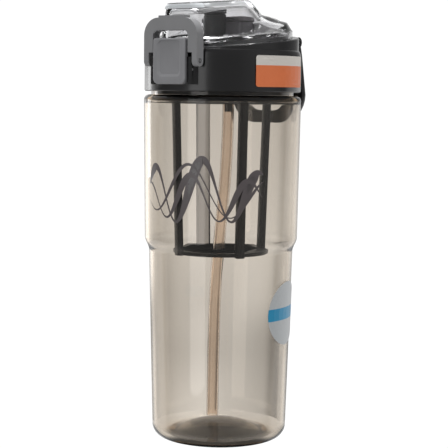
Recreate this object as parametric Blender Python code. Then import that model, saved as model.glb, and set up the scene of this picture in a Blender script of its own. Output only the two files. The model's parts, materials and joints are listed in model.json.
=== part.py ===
"""A clear one-litre tumbler with a screw lid, a flip cover over its spout, a latch
button, a swinging lock ring, a carry loop, a straw and a tea infuser.

Metres, +Z up. The cup stands on z = 0 on its own axis, and the latch faces -Y.
"""

import math

import bmesh
import bpy
from mathutils import Vector

# Fits shared by every piece
gap = 0.0003                      # left between two pieces that touch
overrun = 0.004                   # how far a cutter passes the face that it cuts
sink = 0.0006                     # how far a joined piece reaches into its carrier

# Cup
cup_shoulder_height = 0.1977
cup_top_radius = 0.0450
cup_waist_height = 0.1165         # top of the step round the cup
cup_waist_drop = 0.0078
cup_top_taper = 0.0010             # of the radius from the shoulder to the waist
cup_waist_step = 0.0025            # of the radius at the waist
cup_base_taper = 0.0027            # of the radius from the waist to the base
cup_base_round = 0.0068
cup_shoulder_round = 0.0030
cup_wall = 0.0022
cup_floor = 0.0026
punt_inset = 0.0116                # of the hollow pushed up under the base
punt_depth = 0.0070
neck_inset = 0.0042                # of the neck inside the cup's shoulder
neck_wall = 0.0024
neck_height = 0.0148
neck_edge = 0.0005

# Screw thread
thread_pitch = 0.0060
thread_depth = 0.0012
thread_root_width = 0.0020
thread_crest_width = 0.0010
thread_start = 0.0023             # above the cup's shoulder
thread_turns = 1.25

# Lid shell
skirt_inset = 0.0003               # of the skirt inside the cup's shoulder
skirt_wall = 0.0021
skirt_gap = 0.0018                # open line between the skirt and the cup's shoulder
skirt_height = 0.0183             # straight part of the skirt
skirt_edge = 0.0006
crown_round_height = 0.0052       # rounded shoulder over the skirt
rim_inset = 0.0015
rim_height = 0.0286               # of the tilted rim at the axis, over the skirt's foot
rim_slope_share = 0.11            # the rim rises to the rear
lip_wall = 0.0020
lip_height = 0.0020
deck_thickness = 0.0022
deck_height = 0.0245              # top of the deck over the skirt's foot
ledge_width = 0.0031              # step inside the skirt that the liner seats on
liner_seat_height = 0.0175

# Flip cover
cover_wall = 0.0024
cover_edge_inset = 0.0037         # of the cover's foot from the rim's outer edge
cover_foot_height = 0.0040
cover_fillet = 0.0006
cover_shoulder_rise = 0.0088      # over the rim plane, behind the bulge's start
cover_front_shoulder_rise = 0.0050
cover_shoulder_inset = 0.0033
cover_ridge_foot_rise = 0.0137
cover_front_ridge_rise = 0.0054   # of the ridge's foot before the bulge
cover_bulge_start = 0.0020         # in front of the axis
cover_bulge_full = 0.0160          # behind the axis
cover_ridge_half_width = 0.0185
cover_ridge_inset = 0.0001         # of the ridge's front inside the cover's foot
cover_tongue_reach = 0.0016       # of the top past the ridge's front
cover_ridge_rear = 0.0215
cover_top_rise = 0.0233
cover_top_thickness = 0.0034
cover_top_half_width = 0.0116
cover_top_rear = 0.0108
cover_top_set_back = 0.0006       # of the flat top from the tongue's edge
cover_top_slope_share = 0.088

# Hinge at the rear, shared by the cover and the carry loop
hinge_reach = 0.0026              # of the axis behind the skirt
hinge_drop = 0.0044               # of the axis below the rim there
hinge_pin_radius = 0.0013
hinge_barrel_radius = 0.0031
hinge_ear_radius = 0.0034
hinge_ear_width = 0.0044
hinge_pin_inset = 0.0005          # of the pin's ends inside the loop's eyes
cover_spring_radius = 0.0022
cover_spring_wire = 0.0004
cover_spring_width = 0.0052
cover_arm_outer = 0.0090          # half the width over both arms
cover_arm_width = 0.0058
cover_arm_thickness = 0.0030

# Carry loop
loop_thickness = 0.0038
loop_band_height = 0.0074
loop_drop = 0.0473                # from the hinge axis to its lowest edge
loop_top_half_width = 0.0210
loop_wide_half_width = 0.0253
loop_leg_width = 0.0071
loop_corner = 0.0165
loop_inner_half_width = 0.0143
loop_inner_corner = 0.0085
loop_edge = 0.0008

# Latch housing on the front of the lid
housing_half_width = 0.0143
housing_front = 0.0038            # of its face in front of the skirt
housing_foot = 0.0039             # over the skirt's foot
housing_height = 0.0148
housing_edge = 0.0006
cheek_width = 0.0030
pocket_floor_depth = 0.0029       # behind the housing's face

# Latch button
button_proud = 0.0018             # of its face in front of the housing
button_thickness = 0.0033
button_height = 0.0249
button_low_corner = 0.0032
button_high_corner = 0.0014
button_edge = 0.0006
button_panel_half_width = 0.0066
button_panel_foot = 0.0056
button_panel_depth = 0.0009
button_panel_slope = 0.0016
button_pivot_height = 0.0080      # over the button's lower end
button_barrel_radius = 0.0018
button_pin_radius = 0.0008
hook_half_width = 0.0050
hook_thickness = 0.0014
button_spring_radius = 0.00135
button_spring_wire = 0.00025
button_spring_bore = 0.0019
button_spring_height = 0.0033     # of its middle over the button's lower end
button_spring_depth = 0.0010      # of its seat behind the pocket's floor
button_spring_length = 0.0029
button_spring_socket = 0.0016     # depth of its socket in the button's back
button_barrel_inset = 0.0012
button_panel_top_inset = 0.0012

# Lock ring
ring_half_width = 0.0182
ring_leg_thickness = 0.0033
ring_arch_thickness = 0.0062
ring_depth = 0.0060
ring_top_rise = 0.0247            # over its pivot
ring_bar_height = 0.0081
ring_step_rise = 0.0046           # where the thin legs end
ring_outer_corner = 0.0095
ring_inner_corner = 0.0030
ring_edge = 0.0008
ring_pivot_height = 0.0126        # over the housing's foot
ring_pin_radius = 0.0012
ring_pin_seat = 0.0018            # of the pin inside the cheek
ring_lip_height = 0.0012
ring_lip_half_width = 0.0090
ring_lip_inset = 0.0010

# Catches on the cover's front
lug_half_width = 0.0060
lug_height = 0.0016
lug_gap = 0.0003                  # of the lug's tip from the hook's tip
ledge_half_width = 0.0088
ledge_height = 0.0030
ledge_rise = 0.0112               # of the ledge over the cover's front foot

# Liner under the deck
liner_flange_thickness = 0.0018
liner_wall = 0.0020
liner_floor = 0.0020
liner_floor_height = 0.0003       # of the liner's foot over the cup's shoulder
liner_running_gap = 0.0004
liner_collar_radius = 0.0243
liner_collar_wall = 0.0020
liner_collar_height = 0.0030
valve_offset = 0.0160
valve_radius = 0.0040
valve_thickness = 0.0008
valve_stem_radius = 0.0011
valve_bulb_radius = 0.0020
valve_bulb_height = 0.0016
valve_air_hole_radius = 0.0006

# Gasket on the cup's neck
gasket_height = 0.0018
gasket_width = 0.0028
gasket_groove = 0.0004

# Spout tube, from the straw's nipple up to the mouthpiece
spout_offset = 0.0080             # of the mouthpiece to the front of the axis
spout_radius = 0.0052
spout_bore = 0.0032
spout_rise = 0.0193               # over the deck
spout_lip = 0.0007
spout_tube_radius = 0.0038
spout_tube_bore = 0.0022
nipple_radius = 0.0024
nipple_bore = 0.0016
nipple_length = 0.0098
stopper_radius = 0.0054
stopper_skirt = 0.0006            # bevel at the peg's tip
stopper_peg_radius = 0.0022
stopper_peg_length = 0.0018

# Vent housing behind the spout
vent_half_width = 0.0119
vent_depth = 0.0135
vent_gap = 0.0020                 # behind the spout
vent_rise = 0.0150
vent_corner = 0.0024
vent_bore = 0.0022
vent_cap_thickness = 0.0026
vent_cap_overhang = 0.0007
vent_cap_edge = 0.0004
vent_slot_offset = 0.0012
vent_slot_width = 0.0062
vent_slot_height = 0.0010
vent_slot_rise = 0.0008

# Straw
straw_radius = 0.0034
straw_bore = 0.0027
straw_sway = 0.0064               # of the straw to either side of the axis
straw_bend_height = 0.1240
straw_bend_length = 0.0400
straw_foot_gap = 0.0030           # over the cup's inner floor

# Infuser
infuser_flange_inset = 0.0004      # of the flange inside the liner's wall
infuser_flange_height = 0.0021
infuser_top_radius = 0.0303
infuser_foot_radius = 0.0275
infuser_rib_depth = 0.0035
infuser_rib_width = 0.0046
infuser_wide_rib_width = 0.0078    # of the one rib at the back
infuser_foot_height = 0.1073      # of the foot ring's underside over the table
infuser_ring_height = 0.0021
infuser_ring_width = 0.0036
infuser_rib_toe = 0.0009
infuser_ring_ledge = 0.0014       # the plate's rest inside the foot ring
infuser_ledge_thickness = 0.0006
plate_thickness = 0.0011
plate_hole_radius = 0.0062
plate_slot_radius = 0.0150
plate_slot_width = 0.0026
plate_hole_shift = 0.0007         # of the hole to the front of the straw

# Stuck-on labels
label_thickness = 0.00025
collar_label_height = 0.0172
collar_label_width = 0.0408
collar_label_foot = 0.0030        # over the skirt's foot
collar_label_corner = 0.0014
cup_label_radius = 0.0182
cup_label_height = 0.0746
label_edge_step = 0.0050

# Counts and angles
round_steps = 56
small_round_steps = 18
seam_share = 0.37                 # turns a round bar's corners off the main planes
infuser_first_rib_deg = 60.0
collar_label_deg = -4.2
cup_label_deg = 12.9
straw_steps = 18
plate_slots = 6
plate_first_slot_deg = -60.0
plate_slot_step_deg = 60.0
plate_slot_sweep_share = 0.62

# Places along a curve, and how square the cover's outlines are
punt_shares = (0.0, 0.3, 0.6, 0.85)
waist_shares = (0.0, 0.25, 0.5, 0.75, 1.0)
label_ring_shares = (0.25, 0.5, 0.75, 1.0)
loop_leg_shares = (0.25, 0.5, 0.75, 1.0)
loop_taper_power = 0.8
cover_round_power = 2.0
cover_shoulder_power = 2.1
cover_front_power = 6.5
cover_rear_power = 3.0
cover_width_shares = (0.20, 0.54, 0.57, 0.68, 0.87)
cover_rise_shares = (0.35, 0.80, 0.83, 0.91, 0.98)
cover_tongue_shares = (0.0, 0.0, 1.0, 1.0, 0.8)

# Places worked out from the sizes above
cup_above_waist_radius = cup_top_radius - cup_top_taper
cup_below_waist_radius = cup_above_waist_radius - cup_waist_step
cup_base_radius = cup_below_waist_radius - cup_base_taper
punt_radius = cup_base_radius - punt_inset
neck_radius = cup_top_radius - neck_inset
skirt_radius = cup_top_radius - skirt_inset
neck_top = cup_shoulder_height + neck_height
neck_inner = neck_radius - neck_wall
skirt_foot = cup_shoulder_height + skirt_gap
skirt_inner = skirt_radius - skirt_wall
crown_foot = skirt_foot + skirt_height
rim_radius = skirt_radius - rim_inset
rim_z = skirt_foot + rim_height
cover_radius = rim_radius - cover_edge_inset
cover_ridge_front = cover_radius - cover_ridge_inset
lip_radius = cover_radius - cover_wall - gap
deck_top = skirt_foot + deck_height
deck_under = deck_top - deck_thickness
liner_seat = skirt_foot + liner_seat_height
cover_foot_z = rim_z + gap
cover_top_z = rim_z + cover_top_rise
front_face = skirt_radius + housing_front
pocket_floor = front_face - pocket_floor_depth
button_face = front_face + button_proud
button_back = button_face - button_thickness
housing_foot_z = skirt_foot + housing_foot
ring_pivot_z = housing_foot_z + ring_pivot_height
ring_front = front_face + gap + gap
ring_pivot_y = -(ring_front - ring_depth / 2)
button_foot_z = housing_foot_z
button_pivot_z = button_foot_z + button_pivot_height
button_pivot_y = -button_back
hinge_y = skirt_radius + hinge_reach
hinge_z = rim_z + rim_slope_share * hinge_y - hinge_drop
liner_foot = cup_shoulder_height + liner_floor_height
liner_radius = neck_inner - liner_running_gap
infuser_flange_radius = liner_radius - infuser_flange_inset
vent_front = -spout_offset + spout_radius + vent_gap
cup_inner_floor = punt_depth + cup_floor
liner_floor_top = liner_foot + liner_floor
spout_top = deck_top + spout_rise
button_spring_z = button_foot_z + button_spring_height
button_spring_seat = pocket_floor - button_spring_depth
cover_front_foot = cover_foot_z - rim_slope_share * cover_radius


def rim_height_at(y):
    """Height of the tilted rim plane at a place along Y."""
    return rim_z + rim_slope_share * y


def straw_y(z):
    """The straw's middle line leans from the liner's nipple over to the front."""
    return straw_sway * math.tanh((z - straw_bend_height) / straw_bend_length)


def plastic(name, colour, roughness, transmission=0.0, alpha=1.0):
    """A plain Principled material."""
    made = bpy.data.materials.new(name)
    made.use_nodes = True
    shader = made.node_tree.nodes["Principled BSDF"]
    shader.inputs["Base Color"].default_value = (*colour, 1.0)
    shader.inputs["Roughness"].default_value = roughness
    shader.inputs["Metallic"].default_value = 0.0
    shader.inputs["Transmission Weight"].default_value = transmission
    shader.inputs["Alpha"].default_value = alpha
    made.diffuse_color = (*colour, alpha)
    return made


def steel(name):
    """Bright steel for pins and springs."""
    made = plastic(name, (0.62, 0.62, 0.64), 0.28)
    made.node_tree.nodes["Principled BSDF"].inputs["Metallic"].default_value = 1.0
    return made


def solid(name, bm, look, smooth_angle=35.0):
    """Turns a closed bmesh into a named object with its faces pointing out."""
    bmesh.ops.recalc_face_normals(bm, faces=bm.faces[:])
    mesh = bpy.data.meshes.new(name)
    bm.to_mesh(mesh)
    bm.free()
    mesh.shade_smooth()
    mesh.set_sharp_from_angle(angle=math.radians(smooth_angle))
    made = bpy.data.objects.new(name, mesh)
    bpy.context.scene.collection.objects.link(made)
    if look is not None:
        mesh.materials.append(look)
    return made


def set_origin(made, place):
    """Moves an object's origin to a place without moving its shape."""
    shift = Vector(place)
    for vertex in made.data.vertices:
        vertex.co -= shift
    made.location = shift


def tool(name, bm):
    """A helper solid that cuts or joins, and isn't a piece itself."""
    made = solid(name, bm, None)
    made.hide_render = True
    made.display_type = "WIRE"
    return made


def combine(target, other, operation):
    """Joins a helper to an object, or cuts it out."""
    modifier = target.modifiers.new(operation.lower() + "_" + other.name, "BOOLEAN")
    modifier.operation = operation
    modifier.solver = "EXACT"
    modifier.object = other


def cut(target, name, bm):
    combine(target, tool(name, bm), "DIFFERENCE")


def join(target, name, bm):
    combine(target, tool(name, bm), "UNION")


def soften(made, width, segments=2, angle=40.0):
    """Rounds an object's sharp edges."""
    modifier = made.modifiers.new("soft_edges", "BEVEL")
    modifier.width = width
    modifier.segments = segments
    modifier.limit_method = "ANGLE"
    modifier.angle_limit = math.radians(angle)
    modifier.use_clamp_overlap = True


def arc(centre, radii, start_deg, end_deg, steps):
    """Points along an elliptic arc in a plane, both ends included."""
    points = []
    for step in range(steps + 1):
        angle = math.radians(start_deg + (end_deg - start_deg) * step / steps)
        across = centre[0] + radii[0] * math.cos(angle)
        points.append((across, centre[1] + radii[1] * math.sin(angle)))
    return points


def bridge(bm, first, second):
    """Faces between two rings, either of which may be one point on the axis."""
    count = max(len(first), len(second))
    for index in range(count):
        after = (index + 1) % count
        if len(first) == 1:
            bm.faces.new((first[0], second[after], second[index]))
        elif len(second) == 1:
            bm.faces.new((first[index], first[after], second[0]))
        else:
            bm.faces.new((first[index], first[after], second[after], second[index]))


def turned(profile, steps=round_steps, closed=False, centre=(0.0, 0.0)):
    """Turns (radius, height, slope share) points about a vertical axis.

    A closed profile makes a ring, and an open one starts and ends on the axis.
    """
    bm = bmesh.new()
    rings = []
    for radius, height, *lean in profile:
        slope = lean[0] if lean else 0.0
        count = 1 if radius == 0 else steps
        ring = []
        for index in range(count):
            angle = 2 * math.pi * index / steps
            x = centre[0] + radius * math.cos(angle)
            y = centre[1] + radius * math.sin(angle)
            ring.append(bm.verts.new((x, y, height + slope * y)))
        rings.append(ring)
    for index in range(len(rings) - 1):
        bridge(bm, rings[index], rings[index + 1])
    if closed:
        bridge(bm, rings[-1], rings[0])
    return bm


def block(low, high):
    """A box between two corners."""
    bm = bmesh.new()
    bmesh.ops.create_cube(bm, size=1.0)
    for vertex in bm.verts:
        for axis in range(3):
            share = vertex.co[axis] + 0.5
            vertex.co[axis] = low[axis] + (high[axis] - low[axis]) * share
    return bm


def rod(start, end, radius, steps=small_round_steps):
    """A round bar between two points."""
    return swept([Vector(start), Vector(end)], [radius, radius], steps)


def ring_frame(points, index):
    """Two directions square to a path at one of its points."""
    before = points[max(index - 1, 0)]
    after = points[min(index + 1, len(points) - 1)]
    along = (after - before).normalized()
    side = Vector((1.0, 0.0, 0.0))
    if abs(along.x) > 0.9:
        side = Vector((0.0, 1.0, 0.0))
    up = along.cross(side).normalized()
    return up.cross(along).normalized(), up


def swept(points, radii, steps, bores=None):
    """A round tube along a path, solid or with a bore."""
    bm = bmesh.new()
    skins = []
    for sizes in (radii, bores):
        if sizes is None:
            continue
        rings = []
        for index, point in enumerate(points):
            side, up = ring_frame(points, index)
            ring = []
            for step in range(steps):
                angle = 2 * math.pi * (step + seam_share) / steps
                spoke = side * math.cos(angle) + up * math.sin(angle)
                ring.append(bm.verts.new(point + spoke * sizes[index]))
            rings.append(ring)
        for index in range(len(rings) - 1):
            bridge(bm, rings[index], rings[index + 1])
        skins.append(rings)
    if bores is None:
        bm.faces.new(skins[0][0])
        bm.faces.new(skins[0][-1])
    else:
        bridge(bm, skins[0][0], skins[1][0])
        bridge(bm, skins[0][-1], skins[1][-1])
    return bm


def coil(centre, along, radius, wire, length, turns, steps_a_turn=10, wire_sides=5):
    """A wire spring round an axis."""
    along = Vector(along).normalized()
    side = along.orthogonal().normalized()
    up = along.cross(side)
    count = int(turns * steps_a_turn)
    points = []
    for index in range(count + 1):
        angle = 2 * math.pi * index / steps_a_turn
        spoke = side * math.cos(angle) + up * math.sin(angle)
        points.append(Vector(centre) + spoke * radius + along * length * (index / count - 0.5))
    return swept(points, [wire] * len(points), wire_sides)


def slab(outline, near, far):
    """Extrudes an outline of (x, z) points along Y."""
    bm = bmesh.new()
    faces = [bm.verts.new((x, near, z)) for x, z in outline]
    backs = [bm.verts.new((x, far, z)) for x, z in outline]
    bm.faces.new(faces)
    bm.faces.new(backs)
    bridge(bm, faces, backs)
    return bm


def prism(outline, low, high):
    """Extrudes an outline of (x, y) points upwards."""
    bm = bmesh.new()
    floor = [bm.verts.new((x, y, low)) for x, y in outline]
    roof = [bm.verts.new((x, y, high)) for x, y in outline]
    bm.faces.new(floor)
    bm.faces.new(roof)
    bridge(bm, floor, roof)
    return bm


def plan_outline(half_width, front, rear, corner, steps=4):
    """A rounded rectangle seen from above, as (x, y) points."""
    return rounded_box_outline(half_width, front, rear, corner, corner, steps)


def rounded_box_outline(half_width, low, high, low_corner, high_corner, steps=4):
    """An upright rounded rectangle as (x, z) points."""
    points = []
    places = (
        (1, low, low_corner, -90.0),
        (1, high, high_corner, 0.0),
        (-1, high, high_corner, 90.0),
        (-1, low, low_corner, 180.0),
    )
    for side, edge, corner, start in places:
        inward = 1 if edge == low else -1
        centre = (side * (half_width - corner), edge + inward * corner)
        points += arc(centre, (corner, corner), start, start + 90.0, steps)
    return points


def thread_ridge(root, crest, start_height, steps_a_turn=30):
    """A screw thread's ridge, thinned to nothing at both ends."""
    bm = bmesh.new()
    count = int(thread_turns * steps_a_turn)
    run_out_share = 0.12
    rings = []
    for index in range(count + 1):
        share = index / count
        swell = min(1.0, share / run_out_share, (1 - share) / run_out_share)
        tip = root + (crest - root) * max(swell, 0.35)
        angle = 2 * math.pi * index / steps_a_turn
        height = start_height + thread_pitch * index / steps_a_turn
        outline = (
            (root, -thread_root_width / 2),
            (tip, -thread_crest_width / 2),
            (tip, thread_crest_width / 2),
            (root, thread_root_width / 2),
        )
        ring = []
        for radius, rise in outline:
            place = (radius * math.cos(angle), radius * math.sin(angle), height + rise)
            ring.append(bm.verts.new(place))
        rings.append(ring)
    for index in range(count):
        bridge(bm, rings[index], rings[index + 1])
    bm.faces.new(rings[0])
    bm.faces.new(rings[-1])
    return bm


def cup_profile():
    """The cup's section, from under its base up its outside and down its inside."""
    foot_radius = cup_base_radius - cup_base_round
    waist_foot = cup_waist_height - cup_waist_drop
    step_out = cup_above_waist_radius - cup_below_waist_radius
    section = []
    for share in punt_shares:
        section.append((punt_radius * share, punt_depth * (1 - share**2)))
    section.append((punt_radius, 0.0))
    corner = (foot_radius, cup_base_round)
    section += arc(corner, (cup_base_round, cup_base_round), -90.0, 0.0, 7)
    for share in waist_shares:
        ease = share * share * (3 - 2 * share)
        section.append((cup_below_waist_radius + step_out * ease, waist_foot + cup_waist_drop * share))
    shoulder = (cup_top_radius - cup_shoulder_round, cup_shoulder_height - cup_shoulder_round)
    section += arc(shoulder, (cup_shoulder_round, cup_shoulder_round), 0.0, 90.0, 4)
    section.append((neck_radius, cup_shoulder_height))
    section.append((neck_radius, neck_top - neck_edge))
    section.append((neck_radius - neck_edge, neck_top))
    section.append((neck_inner + neck_edge, neck_top))
    section.append((neck_inner, neck_top - neck_edge))
    under_shoulder = cup_shoulder_height - cup_wall
    section.append((neck_inner, under_shoulder))
    inner_round = cup_shoulder_round
    inside = (cup_top_radius - cup_wall - inner_round, under_shoulder - inner_round)
    section += reversed(arc(inside, (inner_round, inner_round), 0.0, 75.0, 3))
    for share in reversed(waist_shares):
        ease = share * share * (3 - 2 * share)
        radius = cup_below_waist_radius + step_out * ease - cup_wall
        section.append((radius, waist_foot + cup_waist_drop * share))
    inner_corner = cup_base_round - cup_wall
    inner = (foot_radius, cup_floor + inner_corner)
    section += reversed(arc(inner, (inner_corner, inner_corner), -80.0, 0.0, 5))
    for share in reversed(punt_shares):
        section.append((punt_radius * share, cup_floor + punt_depth * (1 - share**2)))
    return section


def make_cup(look):
    cup = solid("cup_body", turned(cup_profile()), look)
    root = neck_radius - sink
    crest = neck_radius + thread_depth
    join(cup, "cup_thread", thread_ridge(root, crest, cup_shoulder_height + thread_start))


def lid_profile():
    """The lid shell's section, with its deck, its tilted rim and lip, and its skirt."""
    slope = rim_slope_share
    lip_inner = lip_radius - lip_wall
    ceiling = skirt_inner - ledge_width
    section = [(0.0, deck_top), (lip_inner, deck_top)]
    section.append((lip_inner, rim_z + lip_height, slope))
    section.append((lip_radius, rim_z + lip_height, slope))
    section.append((lip_radius, rim_z, slope))
    section.append((rim_radius - skirt_edge, rim_z, slope))
    section.append((rim_radius, rim_z - skirt_edge, slope))
    crown = (rim_radius, crown_foot)
    section += reversed(arc(crown, (rim_inset, crown_round_height), 0.0, 90.0, 5))
    section.append((skirt_radius, skirt_foot + skirt_edge))
    section.append((skirt_radius - skirt_edge, skirt_foot))
    section.append((skirt_inner, skirt_foot))
    section.append((skirt_inner, liner_seat))
    section.append((ceiling, liner_seat))
    section.append((ceiling, deck_under))
    section.append((0.0, deck_under))
    return section


def make_lid(look):
    lid = solid("lid_shell", turned(lid_profile()), look)
    add_latch_housing(lid)
    add_hinge_ears(lid)
    root = skirt_inner + sink
    crest = skirt_inner - thread_depth
    start = cup_shoulder_height + thread_start + thread_pitch / 2
    join(lid, "lid_thread", thread_ridge(root, crest, start))
    bottom = deck_under - overrun
    top = deck_top + overrun
    spout_hole = (0.0, -spout_offset)
    cut(lid, "spout_hole", rod((*spout_hole, bottom), (*spout_hole, top), spout_radius + gap))
    vent_hole = (0.0, vent_front + vent_depth / 2)
    cut(lid, "vent_hole", rod((*vent_hole, bottom), (*vent_hole, top), vent_bore, 12))


def add_latch_housing(lid):
    """The box that stands out of the skirt and carries the button and the lock ring."""
    top = housing_foot_z + housing_height
    wide = housing_half_width
    corner = front_face - housing_edge
    root = skirt_inner + sink
    lean_deg = math.degrees(math.asin(wide / root))
    outline = [(-wide, -corner), (housing_edge - wide, -front_face)]
    outline += [(wide - housing_edge, -front_face), (wide, -corner)]
    outline += arc((0.0, 0.0), (root, root), lean_deg - 90.0, -lean_deg - 90.0, 8)
    join(lid, "latch_housing", prism(outline, housing_foot_z, top))
    pocket = wide - cheek_width
    low = (-pocket, -front_face - overrun, housing_foot_z - overrun)
    cut(lid, "button_pocket", block(low, (pocket, -pocket_floor, top + overrun)))
    groove = button_barrel_radius + gap + gap
    barrel_room = pocket - button_barrel_inset + gap
    start = (-barrel_room, button_pivot_y, button_pivot_z)
    end = (barrel_room, button_pivot_y, button_pivot_z)
    cut(lid, "button_groove", rod(start, end, groove))
    reach = wide + overrun
    bore = button_pin_radius + gap
    start = (-reach, button_pivot_y, button_pivot_z)
    end = (reach, button_pivot_y, button_pivot_z)
    cut(lid, "button_pin_hole", rod(start, end, bore, 12))
    start = (0.0, -pocket_floor - overrun, button_spring_z)
    end = (0.0, -button_spring_seat, button_spring_z)
    cut(lid, "button_spring_hole", rod(start, end, button_spring_bore, 16))
    for side in (-1, 1):
        start = (side * (wide - ring_pin_seat - gap), ring_pivot_y, ring_pivot_z)
        end = (side * reach, ring_pivot_y, ring_pivot_z)
        name = "ring_pin_hole_" + side_name(side)
        cut(lid, name, rod(start, end, ring_pin_radius + gap, 16))


def side_name(side):
    return "right" if side > 0 else "left"


def side_slab(outline, near, far):
    """Extrudes an outline of (y, z) points along X."""
    bm = bmesh.new()
    faces = [bm.verts.new((near, y, z)) for y, z in outline]
    backs = [bm.verts.new((far, y, z)) for y, z in outline]
    bm.faces.new(faces)
    bm.faces.new(backs)
    bridge(bm, faces, backs)
    return bm


def add_hinge_ears(lid):
    """Two ears behind the rim, with the hinge pin's hole through both."""
    root = rim_radius - hinge_ear_width
    size = (hinge_ear_radius, hinge_ear_radius)
    outline = [(root, hinge_z - hinge_ear_radius), (root, hinge_z + hinge_ear_radius)]
    outline += arc((hinge_y, hinge_z), size, 90.0, -90.0, 8)
    near = cover_arm_outer + gap
    far = near + hinge_ear_width
    for side in (-1, 1):
        name = "hinge_ear_" + side_name(side)
        join(lid, name, side_slab(outline, side * near, side * far))
    reach = far + overrun
    axis = ((-reach, hinge_y, hinge_z), (reach, hinge_y, hinge_z))
    cut(lid, "hinge_pin_hole", rod(*axis, hinge_pin_radius + gap, 16))


def cover_outline(half_width, front, rear, front_power, rear_power, angle):
    """A point of a rounded outline that is squarer in front than at the rear."""
    c = math.cos(angle)
    s = math.sin(angle)
    reach = rear if s > 0 else front
    power = rear_power if s > 0 else front_power
    scale = (abs(c / half_width) ** power + abs(s / reach) ** power) ** (-1 / power)
    return scale * c, scale * s


def cover_sections():
    """The cover's outer skin, ring by ring from its foot to its top.

    The last number of a ring is how much lower it lies before the bulge at the rear."""
    foot = cover_radius
    filleted = foot - cover_fillet
    shoulder = foot - cover_shoulder_inset
    ridge = (cover_ridge_half_width, cover_ridge_front, cover_ridge_rear)
    tongue = ridge[1] + cover_tongue_reach
    top = (cover_top_half_width, tongue - cover_top_set_back, cover_top_rear)
    tilt = rim_slope_share
    ridge_z = rim_z + cover_ridge_foot_rise
    round_2 = (cover_round_power, cover_round_power)
    round_ridge = (cover_front_power, cover_rear_power)
    shoulder_powers = (cover_shoulder_power, cover_round_power)
    shoulder_sink = cover_shoulder_rise - cover_front_shoulder_rise
    ridge_sink = cover_ridge_foot_rise - cover_front_ridge_rise
    band_top = rim_z + cover_foot_height
    rings = [
        (foot, foot, foot, *round_2, cover_foot_z, tilt, 0.0),
        (foot, foot, foot, *round_2, band_top, tilt, 0.0),
        (filleted, foot, filleted, *round_2, band_top + cover_fillet, tilt, 0.0),
        (shoulder, ridge[1], shoulder, *shoulder_powers, rim_z + cover_shoulder_rise, tilt, shoulder_sink),
        (*ridge, *round_ridge, ridge_z, tilt, ridge_sink),
    ]
    stations = zip(cover_width_shares, cover_rise_shares, cover_tongue_shares)
    for width_share, rise_share, tongue_share in stations:
        half_width = ridge[0] + (top[0] - ridge[0]) * width_share
        front = ridge[1] + cover_tongue_reach * tongue_share
        rear = ridge[2] + (top[2] - ridge[2]) * (width_share + rise_share) / 2
        height = ridge_z + (cover_top_z - ridge_z) * rise_share
        lean = tilt + (cover_top_slope_share - tilt) * min(1.0, 2 * rise_share)
        sunk = ridge_sink * (1 - rise_share)
        rings.append((half_width, front, rear, *round_ridge, height, lean, sunk))
    rings.append((*top, *round_ridge, cover_top_z, cover_top_slope_share, 0.0))
    return rings


def bulge_at(y):
    """0 before the rear bulge of the cover, 1 behind its start."""
    share = (y + cover_bulge_start) / (cover_bulge_start + cover_bulge_full)
    share = min(1.0, max(0.0, share))
    return share * share * (3 - 2 * share)


def inner_drop(index):
    """How far the inner skin lies under the outer one, which grows towards the thick top."""
    if index < 3:
        return 0.0
    share = min(1.0, (index - 3) / 5)
    return cover_wall + (cover_top_thickness - cover_wall) * share


def cover_mesh(steps=52):
    """The clear shell: its outer skin, its inner skin and the foot between them."""
    bm = bmesh.new()
    skins = []
    for inside in (False, True):
        inset = cover_wall if inside else 0.0
        rings = []
        for index, section in enumerate(cover_sections()):
            half_width, front, rear, front_power, rear_power, height, lean, sunk = section
            drop = inner_drop(index) if inside else 0.0
            ring = []
            for step in range(steps):
                angle = 2 * math.pi * step / steps
                sizes = (half_width - inset, front - inset, rear - inset)
                x, y = cover_outline(*sizes, front_power, rear_power, angle)
                z = height - drop + lean * y - sunk * (1 - bulge_at(y))
                ring.append(bm.verts.new((x, y, z)))
            rings.append(ring)
        for index in range(len(rings) - 1):
            bridge(bm, rings[index], rings[index + 1])
        middle = sum((vertex.co for vertex in rings[-1]), Vector()) / steps
        bridge(bm, rings[-1], [bm.verts.new(middle)])
        skins.append(rings)
    bridge(bm, skins[0][0], skins[1][0])
    return bm


def make_cover(look):
    cover = solid("flip_cover", cover_mesh(), look)
    wall = cover_radius - cover_wall / 2
    foot = rim_height_at(hinge_y) + gap + gap
    top = foot + cover_arm_thickness
    size = (hinge_barrel_radius, hinge_barrel_radius)
    outline = [(wall, foot), (wall, top)]
    outline += arc((hinge_y, top - hinge_barrel_radius), size, 90.0, 0.0, 4)
    outline += arc((hinge_y, hinge_z), size, 0.0, -180.0, 10)
    outline.append((hinge_y - hinge_barrel_radius, foot))
    for side in (-1, 1):
        near = side * (cover_arm_outer - cover_arm_width)
        name = "cover_arm_" + side_name(side)
        join(cover, name, side_slab(outline, near, side * cover_arm_outer))
    reach = cover_arm_outer + overrun
    axis = ((-reach, hinge_y, hinge_z), (reach, hinge_y, hinge_z))
    cut(cover, "cover_pin_hole", rod(*axis, hinge_pin_radius + gap, 16))
    inside = -(cover_ridge_front - cover_wall / 2)
    low = cover_front_foot + gap
    tip = -(pocket_floor - gap - lug_gap)
    lug = block((-lug_half_width, tip, low), (lug_half_width, inside, low + lug_height))
    join(cover, "cover_lug", lug)
    low = cover_front_foot + ledge_rise
    tip = -(ring_front - ring_depth - gap)
    high = (ledge_half_width, inside, low + ledge_height)
    join(cover, "cover_ledge", block((-ledge_half_width, tip, low), high))
    set_origin(cover, (0.0, hinge_y, hinge_z))


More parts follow.
